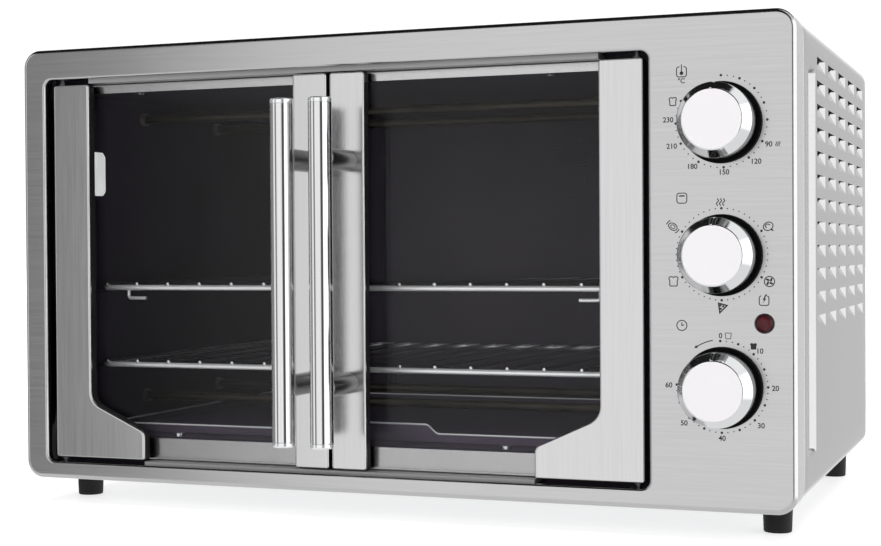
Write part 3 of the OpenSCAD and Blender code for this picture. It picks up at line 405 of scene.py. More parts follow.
@kept
def satin_face(name):
    """Knob face: pale metal with a very fine even grain."""
    f = Finish(name)
    grain, clouds = f.noise(2600.0, detail=2.0), f.noise(90.0)
    return f.surface(Base_Color=f.tones(f.spread(grain), looks().knob_face, 0.95, 1.0),
                     Roughness=clouds.about(0.4, 0.06), Normal=f.bump(grain, 0.03, 0.02))


@kept
def dark_enamel(name, tone):
    """Dark satin enamel with soft clouds and a faint orange peel."""
    f = Finish(name)
    peel, clouds = f.noise(180.0), f.noise(9.0)
    colour = f.tones(f.spread(clouds, 0.35, 0.65), looks().enamel, tone * 0.8, tone * 1.2)
    return f.surface(Base_Color=colour, Roughness=clouds.about(0.36, 0.1), Specular_IOR_Level=0.2,
                     Normal=f.bump(peel, 0.02, 0.05))


@kept
def zinc(name):
    """Galvanised sheet: flakes of grey that shine a little unevenly."""
    f = Finish(name)
    flakes = f.node("ShaderNodeTexVoronoi", None, {"Vector": f.place, "Scale": 160.0})
    colour = f.tones(flakes * 0.7 + f.noise(12.0) * 0.3, looks().zinc, 0.82, 1.1)
    return f.surface(Base_Color=colour, Metallic=0.9, Roughness=0.38 + flakes * 0.14,
                     Normal=f.bump(flakes, 0.05, 0.05))


@kept
def cast_metal(name):
    """Unpolished light metal of the controls, the motor and the fan."""
    f = Finish(name)
    grain, clouds = f.noise(700.0), f.noise(25.0)
    return f.surface(Base_Color=f.tones(clouds, looks().zinc, 0.95, 1.2), Metallic=0.85,
                     Roughness=grain.about(0.45, 0.2), Normal=f.bump(grain, 0.1, 0.06))


@kept
def heat_stained(name):
    """Heating rod: a steel sheath browned and blotched by heat."""
    f = Finish(name)
    blotches, grain = f.noise(45.0, detail=5.0), f.noise(1200.0)
    colour = f.tones(f.spread(blotches, 0.35, 0.65), looks().rod, 0.7, 1.3)
    return f.surface(Base_Color=colour, Metallic=0.7, Roughness=blotches.about(0.42, 0.25),
                     Normal=f.bump(grain, 0.08, 0.05))


@kept
def moulded(name, tone, rough, gloss=0.25):
    """Black moulded rubber or plastic with a fine pebbled skin."""
    f = Finish(name)
    skin, clouds = f.noise(1100.0, detail=2.0), f.noise(80.0)
    return f.surface(Base_Color=f.tones(f.spread(clouds), (tone,) * 3, 0.75, 1.3), Specular_IOR_Level=gloss,
                     Roughness=skin.about(rough, 0.2), Normal=f.bump(skin, 0.15, 0.06))


@kept
def glazed_ceramic(name):
    """Rod insulators: warm grey glaze with a finely broken gloss."""
    f = Finish(name)
    clouds, grain = f.noise(70.0), f.noise(800.0)
    colour = f.mix(clouds, (0.075, 0.068, 0.058), (0.11, 0.102, 0.09))
    return f.surface(Base_Color=colour, Roughness=grain.about(0.3, 0.2), Normal=f.bump(grain, 0.05, 0.05))


@kept
def clear_glass(name):
    """Pane: mostly see-through, with a mirror that grows at low angles and faint smears in its gloss."""
    f = Finish(name)
    smears = f.noise(5.0, (1.0, 1.0, 0.4), 4.0)
    edge = f.node("ShaderNodeFresnel", None, {"IOR": 1.5})
    tint = f.node("ShaderNodeBsdfTransparent", None, {"Color": (0.975, 0.975, 0.975, 1.0)})
    gloss = f.node("ShaderNodeBsdfGlossy", None, {"Roughness": 0.02 + smears * 0.02})
    return f.output(f.node("ShaderNodeMixShader", None, {0: edge * 0.3, 1: tint, 2: gloss}))


@kept
def lamp_glass(name):
    """Frosted lamp pane with a painted glow: it gives off an even light of its own, with faint clouds."""
    f = Finish(name)
    ripple, clouds = f.noise(500.0), f.noise(60.0)
    glow = f.mix(f.spread(clouds), (0.75, 0.77, 0.78), (1.0, 1.0, 0.98))
    # Painted highlight: the pane glows of itself, with no lit lamp behind it
    return f.surface(Base_Color=glow, Roughness=ripple.about(0.3, 0.2), Emission_Color=glow,
                     Emission_Strength=0.55, Normal=f.bump(ripple, 0.1, 0.1))


@kept
def red_lens(name, x, z, r):
    """Indicator: dark red plastic, darkened by painted shade to nearly black at its rim.

    The painted shade's mask is the squared distance from the lens's axis at (x, z), over the squared radius.
    """
    f = Finish(name)
    clouds, skin = f.noise(220.0), f.noise(900.0)
    right, up = f.part("X") - x, f.part("Z") - z
    # Painted shade: the red fades to nearly black towards the dome's edge
    rim = f.spread((right * right + up * up) * r ** -2, 0.35, 1.0)
    red = f.tones(f.spread(clouds), looks().indicator, 0.85, 1.3)
    colour = f.mix(rim, red, shade(looks().indicator, 0.07))
    return f.surface(Base_Color=colour, Roughness=skin.about(0.3, 0.06), Specular_IOR_Level=0.3,
                     Normal=f.bump(skin, 0.03, 0.03))


@kept
def printed_ink(name):
    """Screen-printed marks: near-black ink with a slightly broken gloss."""
    f = Finish(name)
    grain = f.noise(1500.0)
    colour = f.mix(grain, (0.008, 0.008, 0.009), (0.02, 0.02, 0.021))
    return f.surface(Base_Color=colour, Roughness=grain.about(0.45, 0.3))


def dress(finish, *nodes):
    """Gives CAD nodes that stay in sight a finish of their own."""
    for node in nodes:
        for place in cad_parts[node].material_slots:
            place.material = finish


# Sizes and looks that a user may change


def number_property(label, text, value, **kind):
    return FloatProperty(name=label, description=text, default=value, **kind)


def length_property(label, text, value):
    return number_property(label, text, value, unit="LENGTH")


def angle_property(label, text, degrees):
    return number_property(label, text, radians(degrees), subtype="ANGLE")


def colour_property(label, text, value):
    limits = {"size": 3, "min": 0.0, "max": 1.0}
    return FloatVectorProperty(name=label, description=text, default=value, subtype="COLOR", **limits)


class OvenForm(bpy.types.PropertyGroup):
    """Radii and small sizes of the dressed pieces"""

    edge: length_property("Fascia edge", "Radius of the fascia's front edge", 0.0035)
    lip: length_property("Opening edge", "Radius of the rolled edge of the opening", 0.0016)
    corner: length_property("Fascia corner", "Radius of the fascia's corners", 0.013)
    mouth: length_property("Opening corner", "Radius of the opening's corners", 0.006)
    strip_edge: length_property("Strip edge", "Radius of the door strips' edges", 0.0013)
    strip_corner: length_property("Strip corner", "Radius of the strips' corners", 0.002)
    rear_bend: length_property("Rear bend", "Radius of the panels' bend at the back", 0.0045)
    digits: length_property("Digit height", "Letter size of the dials' numbers", 0.0046)
    dot_ring: length_property("Dot ring", "Radius of the ring of dots round a dial", 0.0291)
    wire_sides: IntProperty(
        name="Wire sides", description="Faces round a rack wire", default=14, min=6, max=48)


class OvenLooks(bpy.types.PropertyGroup):
    """Colours of the finishes"""

    steel: colour_property("Steel", "Brushed stainless steel", (0.62, 0.617, 0.622))
    chrome: colour_property("Chrome", "Bright plating", (0.86, 0.87, 0.88))
    knob_face: colour_property("Knob face", "Pale satin face of the knobs", (0.70, 0.68, 0.70))
    enamel: colour_property("Enamel", "Dark enamel of the cavity", (0.032, 0.025, 0.039))
    zinc: colour_property("Zinc", "Galvanised sheet", (0.52, 0.54, 0.55))
    rod: colour_property("Heating rod", "Heat-stained sheath", (0.040, 0.034, 0.024))
    indicator: colour_property("Indicator", "Dark red lens", (0.055, 0.006, 0.009))
    floor: colour_property("Floor", "Pale studio floor", (0.6, 0.6, 0.6))


class OvenStudio(bpy.types.PropertyGroup):
    """Camera and light"""

    eye: FloatVectorProperty(
        name="Camera", description="Where the camera stands", size=3, subtype="TRANSLATION", unit="LENGTH",
        default=(0.44017, -1.20400, 0.18724))
    yaw: angle_property("Yaw", "Turn of the view to the left", 20.917)
    pitch: angle_property("Pitch", "Tilt of the view upwards", -0.827)
    roll: angle_property("Roll", "Turn about the line of sight", -0.355)
    focal: number_property("Focal length", "Lens on a 36 mm wide image", 66.64)
    sky: number_property("Surround", "Strength of the pale surround", 1.0)
    front: number_property("Front light", "Power of the wide light at the front", 22.0, unit="POWER")
    top: number_property("Top light", "Strength of the soft light from above", 2.3)
    paper: number_property("Floor glow", "Light that the floor's paper lets through", 1.05)


# Pieces

# Name, way of the grain, tone, roughness and metal of each brushed sheet
STEEL_FRONT = ("fascia steel", "x", 0.95, 0.19)
STEEL_SIDE = ("side steel", "y", 0.8, 0.2)
STEEL_TOP = ("top steel", "x", 1.0, 0.3, 0.4)
STEEL_RIM = ("rim steel", "x", 1.0, 0.2, 0.7)
STEEL_DOOR = ("door steel", "z", 1.1, 0.17)
STEEL_RAIL = ("rail steel", "x", 1.05, 0.2)
# The sill and lintel get the steel at half its tone and half metal: painted shade in the gaps under and over
# the doors
STEEL_SILL_SHADED = ("sill steel", "x", 0.5, 0.4, 0.5)
CABINET = "cabinet"
STRIP_WIDTH = 30.0


class Piece:
    """What the operators share: a step that can't finish raises its error."""

    bl_options = {"REGISTER", "UNDO"}

    def execute(self, context):
        self.make(context.scene.oven_form)
        return {"FINISHED"}


class OVEN_OT_front_fascia(Piece, bpy.types.Operator):
    """Front fascia: a sheet rounded over at its rim and rolled in round the door opening"""

    bl_idname = "oven.front_fascia"
    bl_label = "Front fascia"

    def make(self, sizes):
        low, high = node_box("front_fascia")
        doors_low, doors_high = node_box("left_outer_strip")[0], node_box("right_outer_strip")[1]
        edge, lip, back = sizes.edge / MM, sizes.lip / MM, high[1]
        side_gap, low_gap, top_gap, lip_depth, support = 4.5, 3.0, 4.0, 6.0, 0.6
        rim = rectangle((low[0], high[0]), (low[2], high[2]), sizes.corner / MM, 12)
        mouth = rectangle((doors_low[0] - side_gap, doors_high[0] + side_gap),
                          (doors_low[2] - low_gap, doors_high[2] + top_gap), sizes.mouth / MM, 12)
        bend = np.linspace(0, pi / 2, 9)[1:-1]

        def skin(wall):
            """Rim profile, then mouth profile, both for a face that lies wall behind the front."""
            r, q = edge - wall, lip - wall
            arc = np.stack([edge - r * np.cos(bend), edge - r * np.sin(bend)], 1)
            roll = np.stack([-(lip - q * np.sin(bend)), lip - q * np.cos(bend)], 1)
            outer = [(wall, back), (wall, edge), *arc, (edge, wall), (edge + support, wall)]
            inner = [(-lip - support, wall), (-lip, wall), *roll, (-wall, lip), (-wall, lip_depth)]
            return outer, inner

        outer, inner = skin(0.0)
        hidden_outer, hidden_inner = skin(SHEET)
        grid = np.concatenate([rings(rim, outer), rings(mouth, inner),
                               rings(mouth, hidden_inner[::-1]), rings(rim, hidden_outer[::-1])])
        # The rim's side, between the front edge's bend and the panels, has its own finish
        face, step, side = range(3)
        kind = np.full(len(grid), face)
        kind[0] = side
        shape = Shape().skin(grid, closed=True, finish=np.repeat(kind, grid.shape[1]))
        # Sill and lintel: steps behind the lip, back to the bulkhead, between the hinged strips
        step_room, step_round, overlap = 0.7, 0.4, 0.4
        step_y = lip_depth - overlap, node_box("front_bulkhead")[0][1]
        feet = node_box("left_outer_strip")[1][0], node_box("right_outer_strip")[0][0]
        strips = doors_low[0] + STRIP_WIDTH, doors_high[0] - STRIP_WIDTH
        for ends, z in ((feet, (doors_low[2] - low_gap - SHEET, doors_low[2] - step_room)),
                        (strips, (doors_high[2] + step_room, doors_high[2] + top_gap + SHEET))):
            section, _ = rectangle(step_y, z, step_round, 4)
            bar = np.broadcast_arrays(np.array(ends)[:, None], section[None, :, 0], section[None, :, 1])
            shape.skin(np.stack(bar, -1), finish=step)
        finishes = [brushed_steel(*steel) for steel in (STEEL_FRONT, STEEL_SILL_SHADED, STEEL_RIM)]
        shape.build("fascia_skin", CABINET, "brushed_stainless", finishes, ["front_fascia"])


# The side panels' vents: length, height, depth, half of the soft fold at a ramp's foot, and drop at its top
VENT_L, VENT_H, VENT_DEPTH, VENT_FOLD, VENT_LIP = 40.0, 8.5, 4.5, 0.95, 0.05


def vent_ramp(rise):
    """Depth of a vent's ramp by its height: a straight slope that starts as a parabola over its fold."""
    slope, fold = VENT_DEPTH / VENT_H, VENT_FOLD
    return np.where(rise > fold, slope * rise, slope * np.clip(rise + fold, 0, None) ** 2 / (4 * fold))


def vent_depth(dy, dz):
    """Depth of a pressed vent: the ramp, or a cheek at 45 degrees from either end where that is less."""
    cheek = np.clip(np.minimum(dy, VENT_L - dy), 0, None)
    inside = (dz > -VENT_H / 2 - VENT_FOLD) & (dz < VENT_H / 2)
    return np.minimum(vent_ramp(dz + VENT_H / 2), cheek) * inside


def vent_lines():
    """Grid lines of one vent, along it from its front end and up from its middle.

    A line lies wherever a cheek meets the ramp at one of its rows, so that their crease follows the grid,
    and others lie at the drop and just outside the vent.
    """
    beside, under, over = 1.0, 0.8, 0.6
    rise = np.concatenate([
        np.linspace(-VENT_FOLD, VENT_FOLD, 5), np.linspace(VENT_FOLD, VENT_H - VENT_LIP, 7)[1:]])
    cheek = vent_ramp(rise)
    along = np.concatenate([[-beside], cheek, VENT_L - cheek, [VENT_L + beside]])
    up = np.concatenate([[-VENT_FOLD - under], rise, [VENT_H, VENT_H + over]]) - VENT_H / 2
    return along, up


def panel_section(x, foot, head, bend, zs):
    """A side panel's section as points (x, z) and normals.

    It runs along a ledge, round the lower bend, up the flat face through the heights zs, round the upper
    bend, and down a short drop at the seam. Each bend is a quarter circle.
    """
    ledge, seam_drop = 15.0, 0.7
    turn = np.linspace(0, pi / 2, 11)[1:-1]
    points = np.concatenate([
        [(x - bend - ledge, foot), (x - bend, foot)],
        np.stack([x - bend + bend * np.sin(turn), foot + bend - bend * np.cos(turn)], 1),
        np.stack([np.full(len(zs), x), zs], 1),
        np.stack([x - bend + bend * np.cos(turn), head - bend + bend * np.sin(turn)], 1),
        [(x - bend, head), (x - bend, head - seam_drop)]])
    normals = np.concatenate([
        [(0, -1), (0, -1)], np.stack([np.sin(turn), -np.cos(turn)], 1), np.tile((1, 0), (len(zs), 1)),
        np.stack([np.cos(turn), np.sin(turn)], 1), [(0, 1), (0, 1)]])
    return points, normals


class OVEN_OT_side_panels(Piece, bpy.types.Operator):
    """Side panels: a sheet bent over at the top, bottom and back, with a pressed groove and open vents"""

    bl_idname = "oven.side_panels"
    bl_label = "Side panels"

    def make(self, sizes):
        low, high = node_box("right_side_panel")
        back, bend, rear, flange = high[1], 12.0, sizes.rear_bend / MM, 7.0
        columns, rows, pitch_y, pitch_z, start_y, top_z = 5, 12, 56.4, 16.0, 99.0, high[2] - 23.5
        vent_y, vent_z = start_y + pitch_y * np.arange(columns), top_z - pitch_z * np.arange(rows)
        groove_y, groove_z, groove_depth = (59.0, 92.0), (30.0, high[2] - 29.0), 5.0
        groove_side, groove_end = 5.0, 3.0
        step_y, step_l, step_in = 31.0, 11.0, 2.6
        # Grid lines over the step, over the groove's slopes with some to spare, and at the vents
        ease, spare = np.linspace(0, 1, 6), 1.0
        slope_y, slope_z = (groove_side + spare) * ease - spare / 2, (groove_end + spare) * ease
        reach, climb = vent_lines()
        ys = np.concatenate([
            [low[1]], np.linspace(step_y, step_y + step_l, 9), groove_y[0] + slope_y, groove_y[1] - slope_y,
            np.add.outer(vent_y, reach).ravel(), [back - rear]])
        zs = np.concatenate([
            [low[2] + bend, high[2] - bend], groove_z[0] + slope_z, groove_z[1] - slope_z,
            np.add.outer(vent_z, climb).ravel()])
        ys, zs = np.unique(ys.round(4)), np.unique(zs.round(4))
        zs = zs[(zs >= low[2] + bend) & (zs <= high[2] - bend)]
        section, normal = panel_section(high[0], low[2], high[2], bend, zs)
        # Along the depth: straight, then round the rear bend and in behind the rear cover
        turn = np.linspace(0, pi / 2, 9)[1:]
        depth_y = np.concatenate([ys, back - rear + rear * np.sin(turn), [back]])
        inset = np.concatenate([np.zeros(len(ys)), rear - rear * np.cos(turn), [rear + flange]])
        # Pressed in: the groove and the vents on the flat face, and a set-in strip along the front
        z, y = section[:, 1][:, None], depth_y[None, :]
        across = np.minimum(y - groove_y[0], groove_y[1] - y) / groove_side
        along = np.minimum(z - groove_z[0], groove_z[1] - z) / groove_end
        pressed = groove_depth * smooth(across) * smooth(along)
        for column in vent_y:
            for row in vent_z:
                pressed = pressed + vent_depth(y - column, z - row)
        pressed = pressed * (normal[:, :1] == 1)
        pressed = pressed + step_in * (1 - smooth((y - step_y) / step_l)) * normal[:, :1] ** 2
        grid = stood(section[:, None] - normal[:, None] * (inset[None] + pressed)[..., None], y)
        faces = grid_faces(*grid.shape[:2])
        # The vents are open along their tops: the faces of the drop back to the panel are left out there
        well, flush = 0.6, 0.01
        deep, corner = pressed.ravel()[faces], grid.reshape(-1, 3)[faces]
        low_face = np.ptp(corner[:, :, 2], axis=1) < 2 * VENT_LIP
        drop = (deep.max(1) > well) & (deep.min(1) < flush) & low_face
        # A face splits along its first corner's diagonal, turned at the vents' rear ends to follow the crease
        along_vent = corner[:, :, 1].mean(1)[:, None] - vent_y
        turned = ((along_vent > VENT_L / 2) & (along_vent < VENT_L)).any(1)
        faces = np.where(turned[:, None], np.roll(faces, -1, 1), faces)[~drop]
        mirrored = np.roll(faces[:, ::-1], 1, 1)
        for side, sign, shown in (("right", 1.0, faces), ("left", -1.0, mirrored)):
            Shape().add(grid * [sign, 1, 1], shown).build(
                f"{side}_panel_skin", CABINET, "brushed_stainless", [brushed_steel(*STEEL_SIDE)],
                [f"{side}_side_panel"], sharp=24.0, shell=False, wall=SHEET)


class OVEN_OT_top_panel(Piece, bpy.types.Operator):
    """Top panel: a flat sheet bent down at the back"""

    bl_idname = "oven.top_panel"
    bl_label = "Top panel"

    def make(self, sizes):
        low, high = node_box("top_panel")
        rear, flange, support = sizes.rear_bend / MM, 7.0, 0.6
        turn = np.linspace(0, pi / 2, 9)
        y = np.concatenate([
            [low[1], high[1] - rear - support], high[1] - rear + rear * np.sin(turn), [high[1]]])
        z = np.concatenate([[high[2]] * 2, high[2] - rear + rear * np.cos(turn), [high[2] - rear - flange]])
        # Across: the sheet's two long edges turn down a little at the seams
        inset, drop = np.array([0.0, 0.25, 0.9]), np.array([0.5, 0.1, 0.0])
        x = np.concatenate([low[0] + inset, high[0] - inset[::-1]])
        drop = np.concatenate([drop, drop[::-1]])
        grid = np.stack(np.broadcast_arrays(x[:, None], y[None], z[None] - drop[:, None]), -1)
        Shape().add(grid, grid_faces(*grid.shape[:2])[:, ::-1]).build(
            "top_skin", CABINET, "brushed_stainless", [brushed_steel(*STEEL_TOP)], ["top_panel"],
            shell=False, wall=SHEET)


class OVEN_OT_rear_cover(Piece, bpy.types.Operator):
    """Rear cover: a plate with rows of slots, set in from the rounded rear edges of the panels"""

    bl_idname = "oven.rear_cover"
    bl_label = "Rear cover"

    def make(self, sizes):
        low, high = node_box("rear_cover")
        inset, corner, columns, rows = 3.0, 9.0, 8, 6
        length, height, pitch_x, pitch_z, top_z = 34.0, 4.0, 46.0, 12.0, high[2] - 48.5
        x0, x1, z0, z1 = low[0] + inset, high[0] - inset, low[2] + inset, high[2] - inset
        y = high[1]
        # A field of grid lines along the slots' edges, without the faces in the slots
        at_x = (np.arange(columns) - (columns - 1) / 2) * pitch_x
        at_z = top_z - np.arange(rows) * pitch_z
        edges = np.array([-0.5, 0.5])
        xs = np.unique([x0 + corner, x1 - corner, *np.add.outer(at_x, edges * length).ravel()])
        zs = np.unique([z0 + corner, z1 - corner, *np.add.outer(at_z, edges * height).ravel()])
        grid = np.stack(np.broadcast_arrays(xs[:, None], y, zs[None, :]), -1)
        faces = grid_faces(*grid.shape[:2])
        mid = grid.reshape(-1, 3)[faces].mean(1)
        slot_x = (np.abs(mid[:, :1] - at_x) < length / 2).any(1)
        slot_z = (np.abs(mid[:, 2:] - at_z) < height / 2).any(1)
        shape = Shape().add(grid, faces[~(slot_x & slot_z)])

        def around(left, right, foot, head):
            """The field's grid lines where they meet four straight sides, once round."""
            sides = (xs, foot), (right, zs), (xs[::-1], head), (left, zs[::-1])
            return np.concatenate([np.stack(np.broadcast_arrays(*side), 1) for side in sides])

        # The border round the field: each point of its edge is carried straight out to the plate's edge
        border = np.stack([around(xs[0], xs[-1], zs[0], zs[-1]), around(x0, x1, z0, z1)])
        quads = grid_faces(*border.shape[:2])
        corners = np.cumsum([len(xs), len(zs), len(xs)]) - 1
        shape.add(stood(border, y), quads[~np.isin(quads[:, 0], corners)])
        # Corner fans: from each corner of the field to its rounded arc
        arcs = rectangle((x0, x1), (z0, z1), corner, 8)[0].reshape(4, -1, 2)
        hubs = np.array([(xs[0], zs[0]), (xs[-1], zs[0]), (xs[-1], zs[-1]), (xs[0], zs[-1])])
        fans = np.concatenate([hubs[:, None], arcs], 1)
        step = np.arange(1, arcs.shape[1])
        spokes = np.stack([np.zeros_like(step), step, step + 1], 1)
        shape.add(stood(fans, y), (spokes + np.arange(4)[:, None, None] * fans.shape[1]).reshape(-1, 3))
        shape.build("rear_plate", CABINET, "galvanised_steel", [zinc("rear zinc")], ["rear_cover"],
                    wall=SHEET)


class OVEN_OT_feet(Piece, bpy.types.Operator):
    """Feet: tapered rubber with rounded rims and a screw well underneath"""

    bl_idname = "oven.feet"
    bl_label = "Feet"

    def make(self, sizes):
        low, high = node_box("rubber_feet")
        foot_r, seat_r, well_r, well_h = 9.25, 10.0, 5.5, 6.0
        well_edge, mouth_edge, foot_edge, seat_edge = 0.3, 0.4, 1.0, 0.4
        z0, z1 = low[2], high[2]
        corners = [(0.0, z0 + well_h), (well_r, z0 + well_h), (well_r, z0),
                   (foot_r, z0), (seat_r, z1), (0.0, z1)]
        profile = rounded_line(corners, [well_edge, mouth_edge, foot_edge, seat_edge], 5)
        shape = Shape()
        for x in (low[0] + seat_r, high[0] - seat_r):
            for y in (low[1] + seat_r, high[1] - seat_r):
                shape.skin(revolved(profile, (x, y, 0), "z", 48))
        rubber = moulded("foot rubber", 0.008, 0.6)
        shape.build("feet_rubber", CABINET, "black_rubber", [rubber], ["rubber_feet"])


class OVEN_OT_door_strips(Piece, bpy.types.Operator):
    """Door strips: pressed channels with rounded edges, the hinged one with a sloping foot"""

    bl_idname = "oven.door_strips"
    bl_label = "Door strips"

    def make(self, sizes):
        low, high = node_box("left_outer_strip")
        inner_low, inner_high = node_box("left_inner_strip")
        middle = (inner_high[0] + node_box("right_inner_strip")[0][0]) / 2
        edge, corner, metal, support, shade_depth = sizes.strip_edge / MM, sizes.strip_corner / MM, 1.2, 0.35, 2.2
        tip_h, root_h, tip_r, root_r = 21.0, 41.5, 6.0, 12.0
        y0, y1 = low[1], high[1]
        turn = np.linspace(0, pi / 2, 7)
        front = np.stack([edge - edge * np.sin(turn), y0 + edge - edge * np.cos(turn)], 1)
        profile = [(edge + support, y0), *front, (0, y0 + shade_depth), (0, y1), (metal, y1), (metal, y0 + metal)]
        # Steel for the first 2.2 millimetres of depth, and black from there on: painted shade on the
        # channel's sides and inside
        kind = np.arange(len(profile) - 1) > len(front)
        x0, x1, z0, z1 = low[0] - middle, high[0] - middle, low[2], high[2]
        bend = x0 + STRIP_WIDTH
        hinged = outline([(x0, z0), (x1, z0), (x1, z0 + tip_h), (bend, z0 + root_h), (bend, z1), (x0, z1)],
                         [corner, corner, tip_r, root_r, corner, corner])
        inner_x = inner_low[0] - middle, inner_high[0] - middle
        meeting = rectangle(inner_x, (inner_low[2], inner_high[2]), corner)
        finishes = [brushed_steel(*STEEL_DOOR), moulded("door seal", 0.012, 0.5)]
        for side, sign in DOORS:
            for name, loop in (("outer", hinged), ("inner", meeting)):
                # The right door mirrors the left one about the line between them
                grid = rings(loop, profile) * [sign, 1, 1] + [middle, 0, 0]
                Shape().skin(grid, finish=np.repeat(kind, len(loop[0]))).build(
                    f"{side}_{name}_channel", f"{side}_door", "door_stainless", finishes,
                    [f"{side}_{name}_strip"])


class OVEN_OT_door_glass(Piece, bpy.types.Operator):
    """Door glass, rails, pins and screws keep their solids and get their finishes"""

    bl_idname = "oven.door_glass"
    bl_label = "Door glass and rails"

    def make(self, sizes):
        for side, _ in DOORS:
            dress(clear_glass("door glass"), f"{side}_glass")
            dress(brushed_steel(*STEEL_RAIL), f"{side}_top_rail", f"{side}_bottom_rail")
            dress(chrome("pin steel", 0.12, 0.35), f"{side}_hinge_pins")
            dress(chrome("screw plating", 0.9, 0.2), f"{side}_handle_screws")


class OVEN_OT_handles(Piece, bpy.types.Operator):
    """Handles: steel tubes with plain caps on two satin posts each"""

    bl_idname = "oven.handles"
    bl_label = "Handles"

    def make(self, sizes):
        wall, relief, shoulder, seam, root = 1.5, 0.25, 1.0, 0.3, 0.55
        # Radii of a cap's edges, from its tip to its neck, and of a post's, from the door to the tube
        cap_edges, post_edges = (1.4, 0.1, 0.05), (0.7, 0.5)
        for side, _ in DOORS:
            door = f"{side}_door"
            low, high = node_box(f"{side}_handle_bar")
            (x, y, _), r = (low + high) / 2, (high[0] - low[0]) / 2
            z0, z1 = low[2], high[2]
            end = [(r - wall, 0.0), (r - relief, 0.0), (r, relief), (r, shoulder)]
            Shape().skin(revolved(both_ends(end, z0, z1), (x, y, 0), "z"), closed=True).build(
                f"{side}_handle_tube", door, "handle_steel", [polished_steel("handle steel")],
                [f"{side}_handle_bar"])
            caps_low, caps_high = node_box(f"{side}_handle_caps")
            shape = Shape()
            for tip, seat in ((caps_low[2], z0 - seam), (caps_high[2], z1 + seam)):
                neck = seat + (relief if seat > tip else -relief)
                corners = [(0.0, tip), (r, tip), (r, seat), (r - relief, neck), (0.0, neck)]
                shape.skin(revolved(rounded_line(corners, cap_edges), (x, y, 0), "z"))
            shape.build(f"{side}_handle_ends", door, "bright_chrome", [chrome("cap plating", 1.0, 0.15, 0.8)],
                        [f"{side}_handle_caps"])
            posts_low, posts_high = node_box(f"{side}_handle_posts")
            post_r = (posts_high[0] - posts_low[0]) / 2
            # A post runs from the door into the tube, up to the root's share of the tube's radius
            corners = both_ends([(0.0, 0.0), (post_r, 0.0)], posts_high[1], y + r * root)
            line = rounded_line(corners, post_edges)
            shape = Shape()
            for z in (posts_low[2] + post_r, posts_high[2] - post_r):
                shape.skin(revolved(line, (x, 0, z), "y"))
            steel = brushed_steel("post steel", "y", 0.5, 0.32)
            shape.build(f"{side}_handle_stems", door, "handle_steel", [steel], [f"{side}_handle_posts"])


class OVEN_OT_knobs(Piece, bpy.types.Operator):
    """Knobs: a black skirt that doubles as painted shadow, a collar in plating darkened as painted shade, a
    plated bevel with a pointer notch, and a satin face
    """

    bl_idname = "oven.knobs"
    bl_label = "Knobs"

    def make(self, sizes):
        face_r, bevel, overhang, skirt_h, sides = 19.0, 8.0, 2.3, 2.5, 96
        notch_depth, notch_half = 0.8, 1.7
        for dial in DIALS:
            low, high = node_box(f"{dial}_knob")
            (x, z), r = face_middle(f"{dial}_knob"), (high[0] - low[0]) / 2
            front, back = low[1], high[1]
            collar_r, skirt_y, bevel_y = r - overhang, back - skirt_h, front + bevel
            # Skirt: a low disc with a rounded edge, in as far as the collar's foot; its near-black stands
            # partly for a black base and partly for the knob's shadow on the panel, a painted shadow
            line = [(0.0, back), (r - 0.5, back), (r, back - 0.5),
                    (r - 0.25, skirt_y + 0.3), (r - 0.5, skirt_y), (collar_r + 0.1, skirt_y - 0.1)]
            # Soft edges from the collar to the bevel and from the bevel to the face
            shoulder = bowed((collar_r, bevel_y + 0.6), (collar_r - 0.6, bevel_y - 0.5), 0.22)
            rim = bowed((face_r + 0.35, front + 0.5), (face_r - 0.5, front), 0.12)
            profile = np.concatenate([line, shoulder, rim, [(face_r - 1.0, front), (0.0, front)]])
            grid = revolved(profile, (x, 0, z), "y", sides)
            # Pointer notch: the bevel's points near the top all sink by one depth along the axis
            away = np.abs((full_turn(sides) + pi) % (2 * pi) - pi) * r
            on_bevel = (profile[:, 0] > face_r - 0.6) & (profile[:, 1] < bevel_y + 0.2)
            grid[..., 1] += notch_depth * on_bevel[:, None] * (away[None] < notch_half)
            skirt, plating, face, collar = range(4)
            kind = np.full(len(profile) - 1, plating)
            kind[:len(line) - 1] = skirt
            kind[len(line) - 1] = collar
            kind[-2:] = face
            # Painted shadow and shade: the skirt is near black to give the knob's shadow on the panel, and
            # the collar's plating is darkened to a fifth for the shade on its side
            finishes = [moulded("knob skirt", 0.002, 0.5, 0.05), chrome("knob plating", 0.95, 0.07),
                        satin_face("knob face"), chrome("knob collar", 0.2, 0.12)]
            Shape().skin(grid, finish=np.repeat(kind, sides)).build(
                f"{dial}_knob_body", f"{dial}_dial", "satin_silver", finishes, [f"{dial}_knob"], sharp=24.0)


class OVEN_OT_indicator(Piece, bpy.types.Operator):
    """Indicator lamp: a red dome in a narrow plated rim"""

    bl_idname = "oven.indicator"
    bl_label = "Indicator lamp"

    def make(self, sizes):
        low, high = node_box("indicator_lens")
        (x, z), r, front = face_middle("indicator_lens"), (high[0] - low[0]) / 2, low[1]
        rim_y, back, neck_r, dome_r, sides = -0.9, 4.0, r - 1.5, r - 0.55, 48
        dome_y = rim_y + 0.3
        turn = np.linspace(0, pi / 2, 12)
        dome = np.stack([dome_r * np.cos(turn), dome_y + (front - dome_y) * np.sin(turn)], 1)
        rim = [(0.0, back), (neck_r, back), (neck_r, 0.0), (r, 0.0), (r, rim_y + 0.25), (r - 0.2, rim_y),
               (dome_r, rim_y + 0.1)]
        grid = revolved(np.concatenate([rim, dome]), (x, 0, z), "y", sides)
        red, plated = range(2)
        kind = np.repeat([plated] * (len(rim) - 1) + [red] * len(dome), sides)
        lens = red_lens("indicator red", x * MM, BASE[2] + z * MM, dome_r * MM)
        Shape().skin(grid, caps=False, finish=kind).build(
            "indicator_dome", CABINET, "indicator_red", [lens, chrome("indicator rim", 0.2, 0.25)],
            ["indicator_lens"])


# Printed marks: all are flat figures in (right, up) millimetres, laid just in front of the fascia

# Widths of the lines
THIN, BROAD = 0.62, 0.9


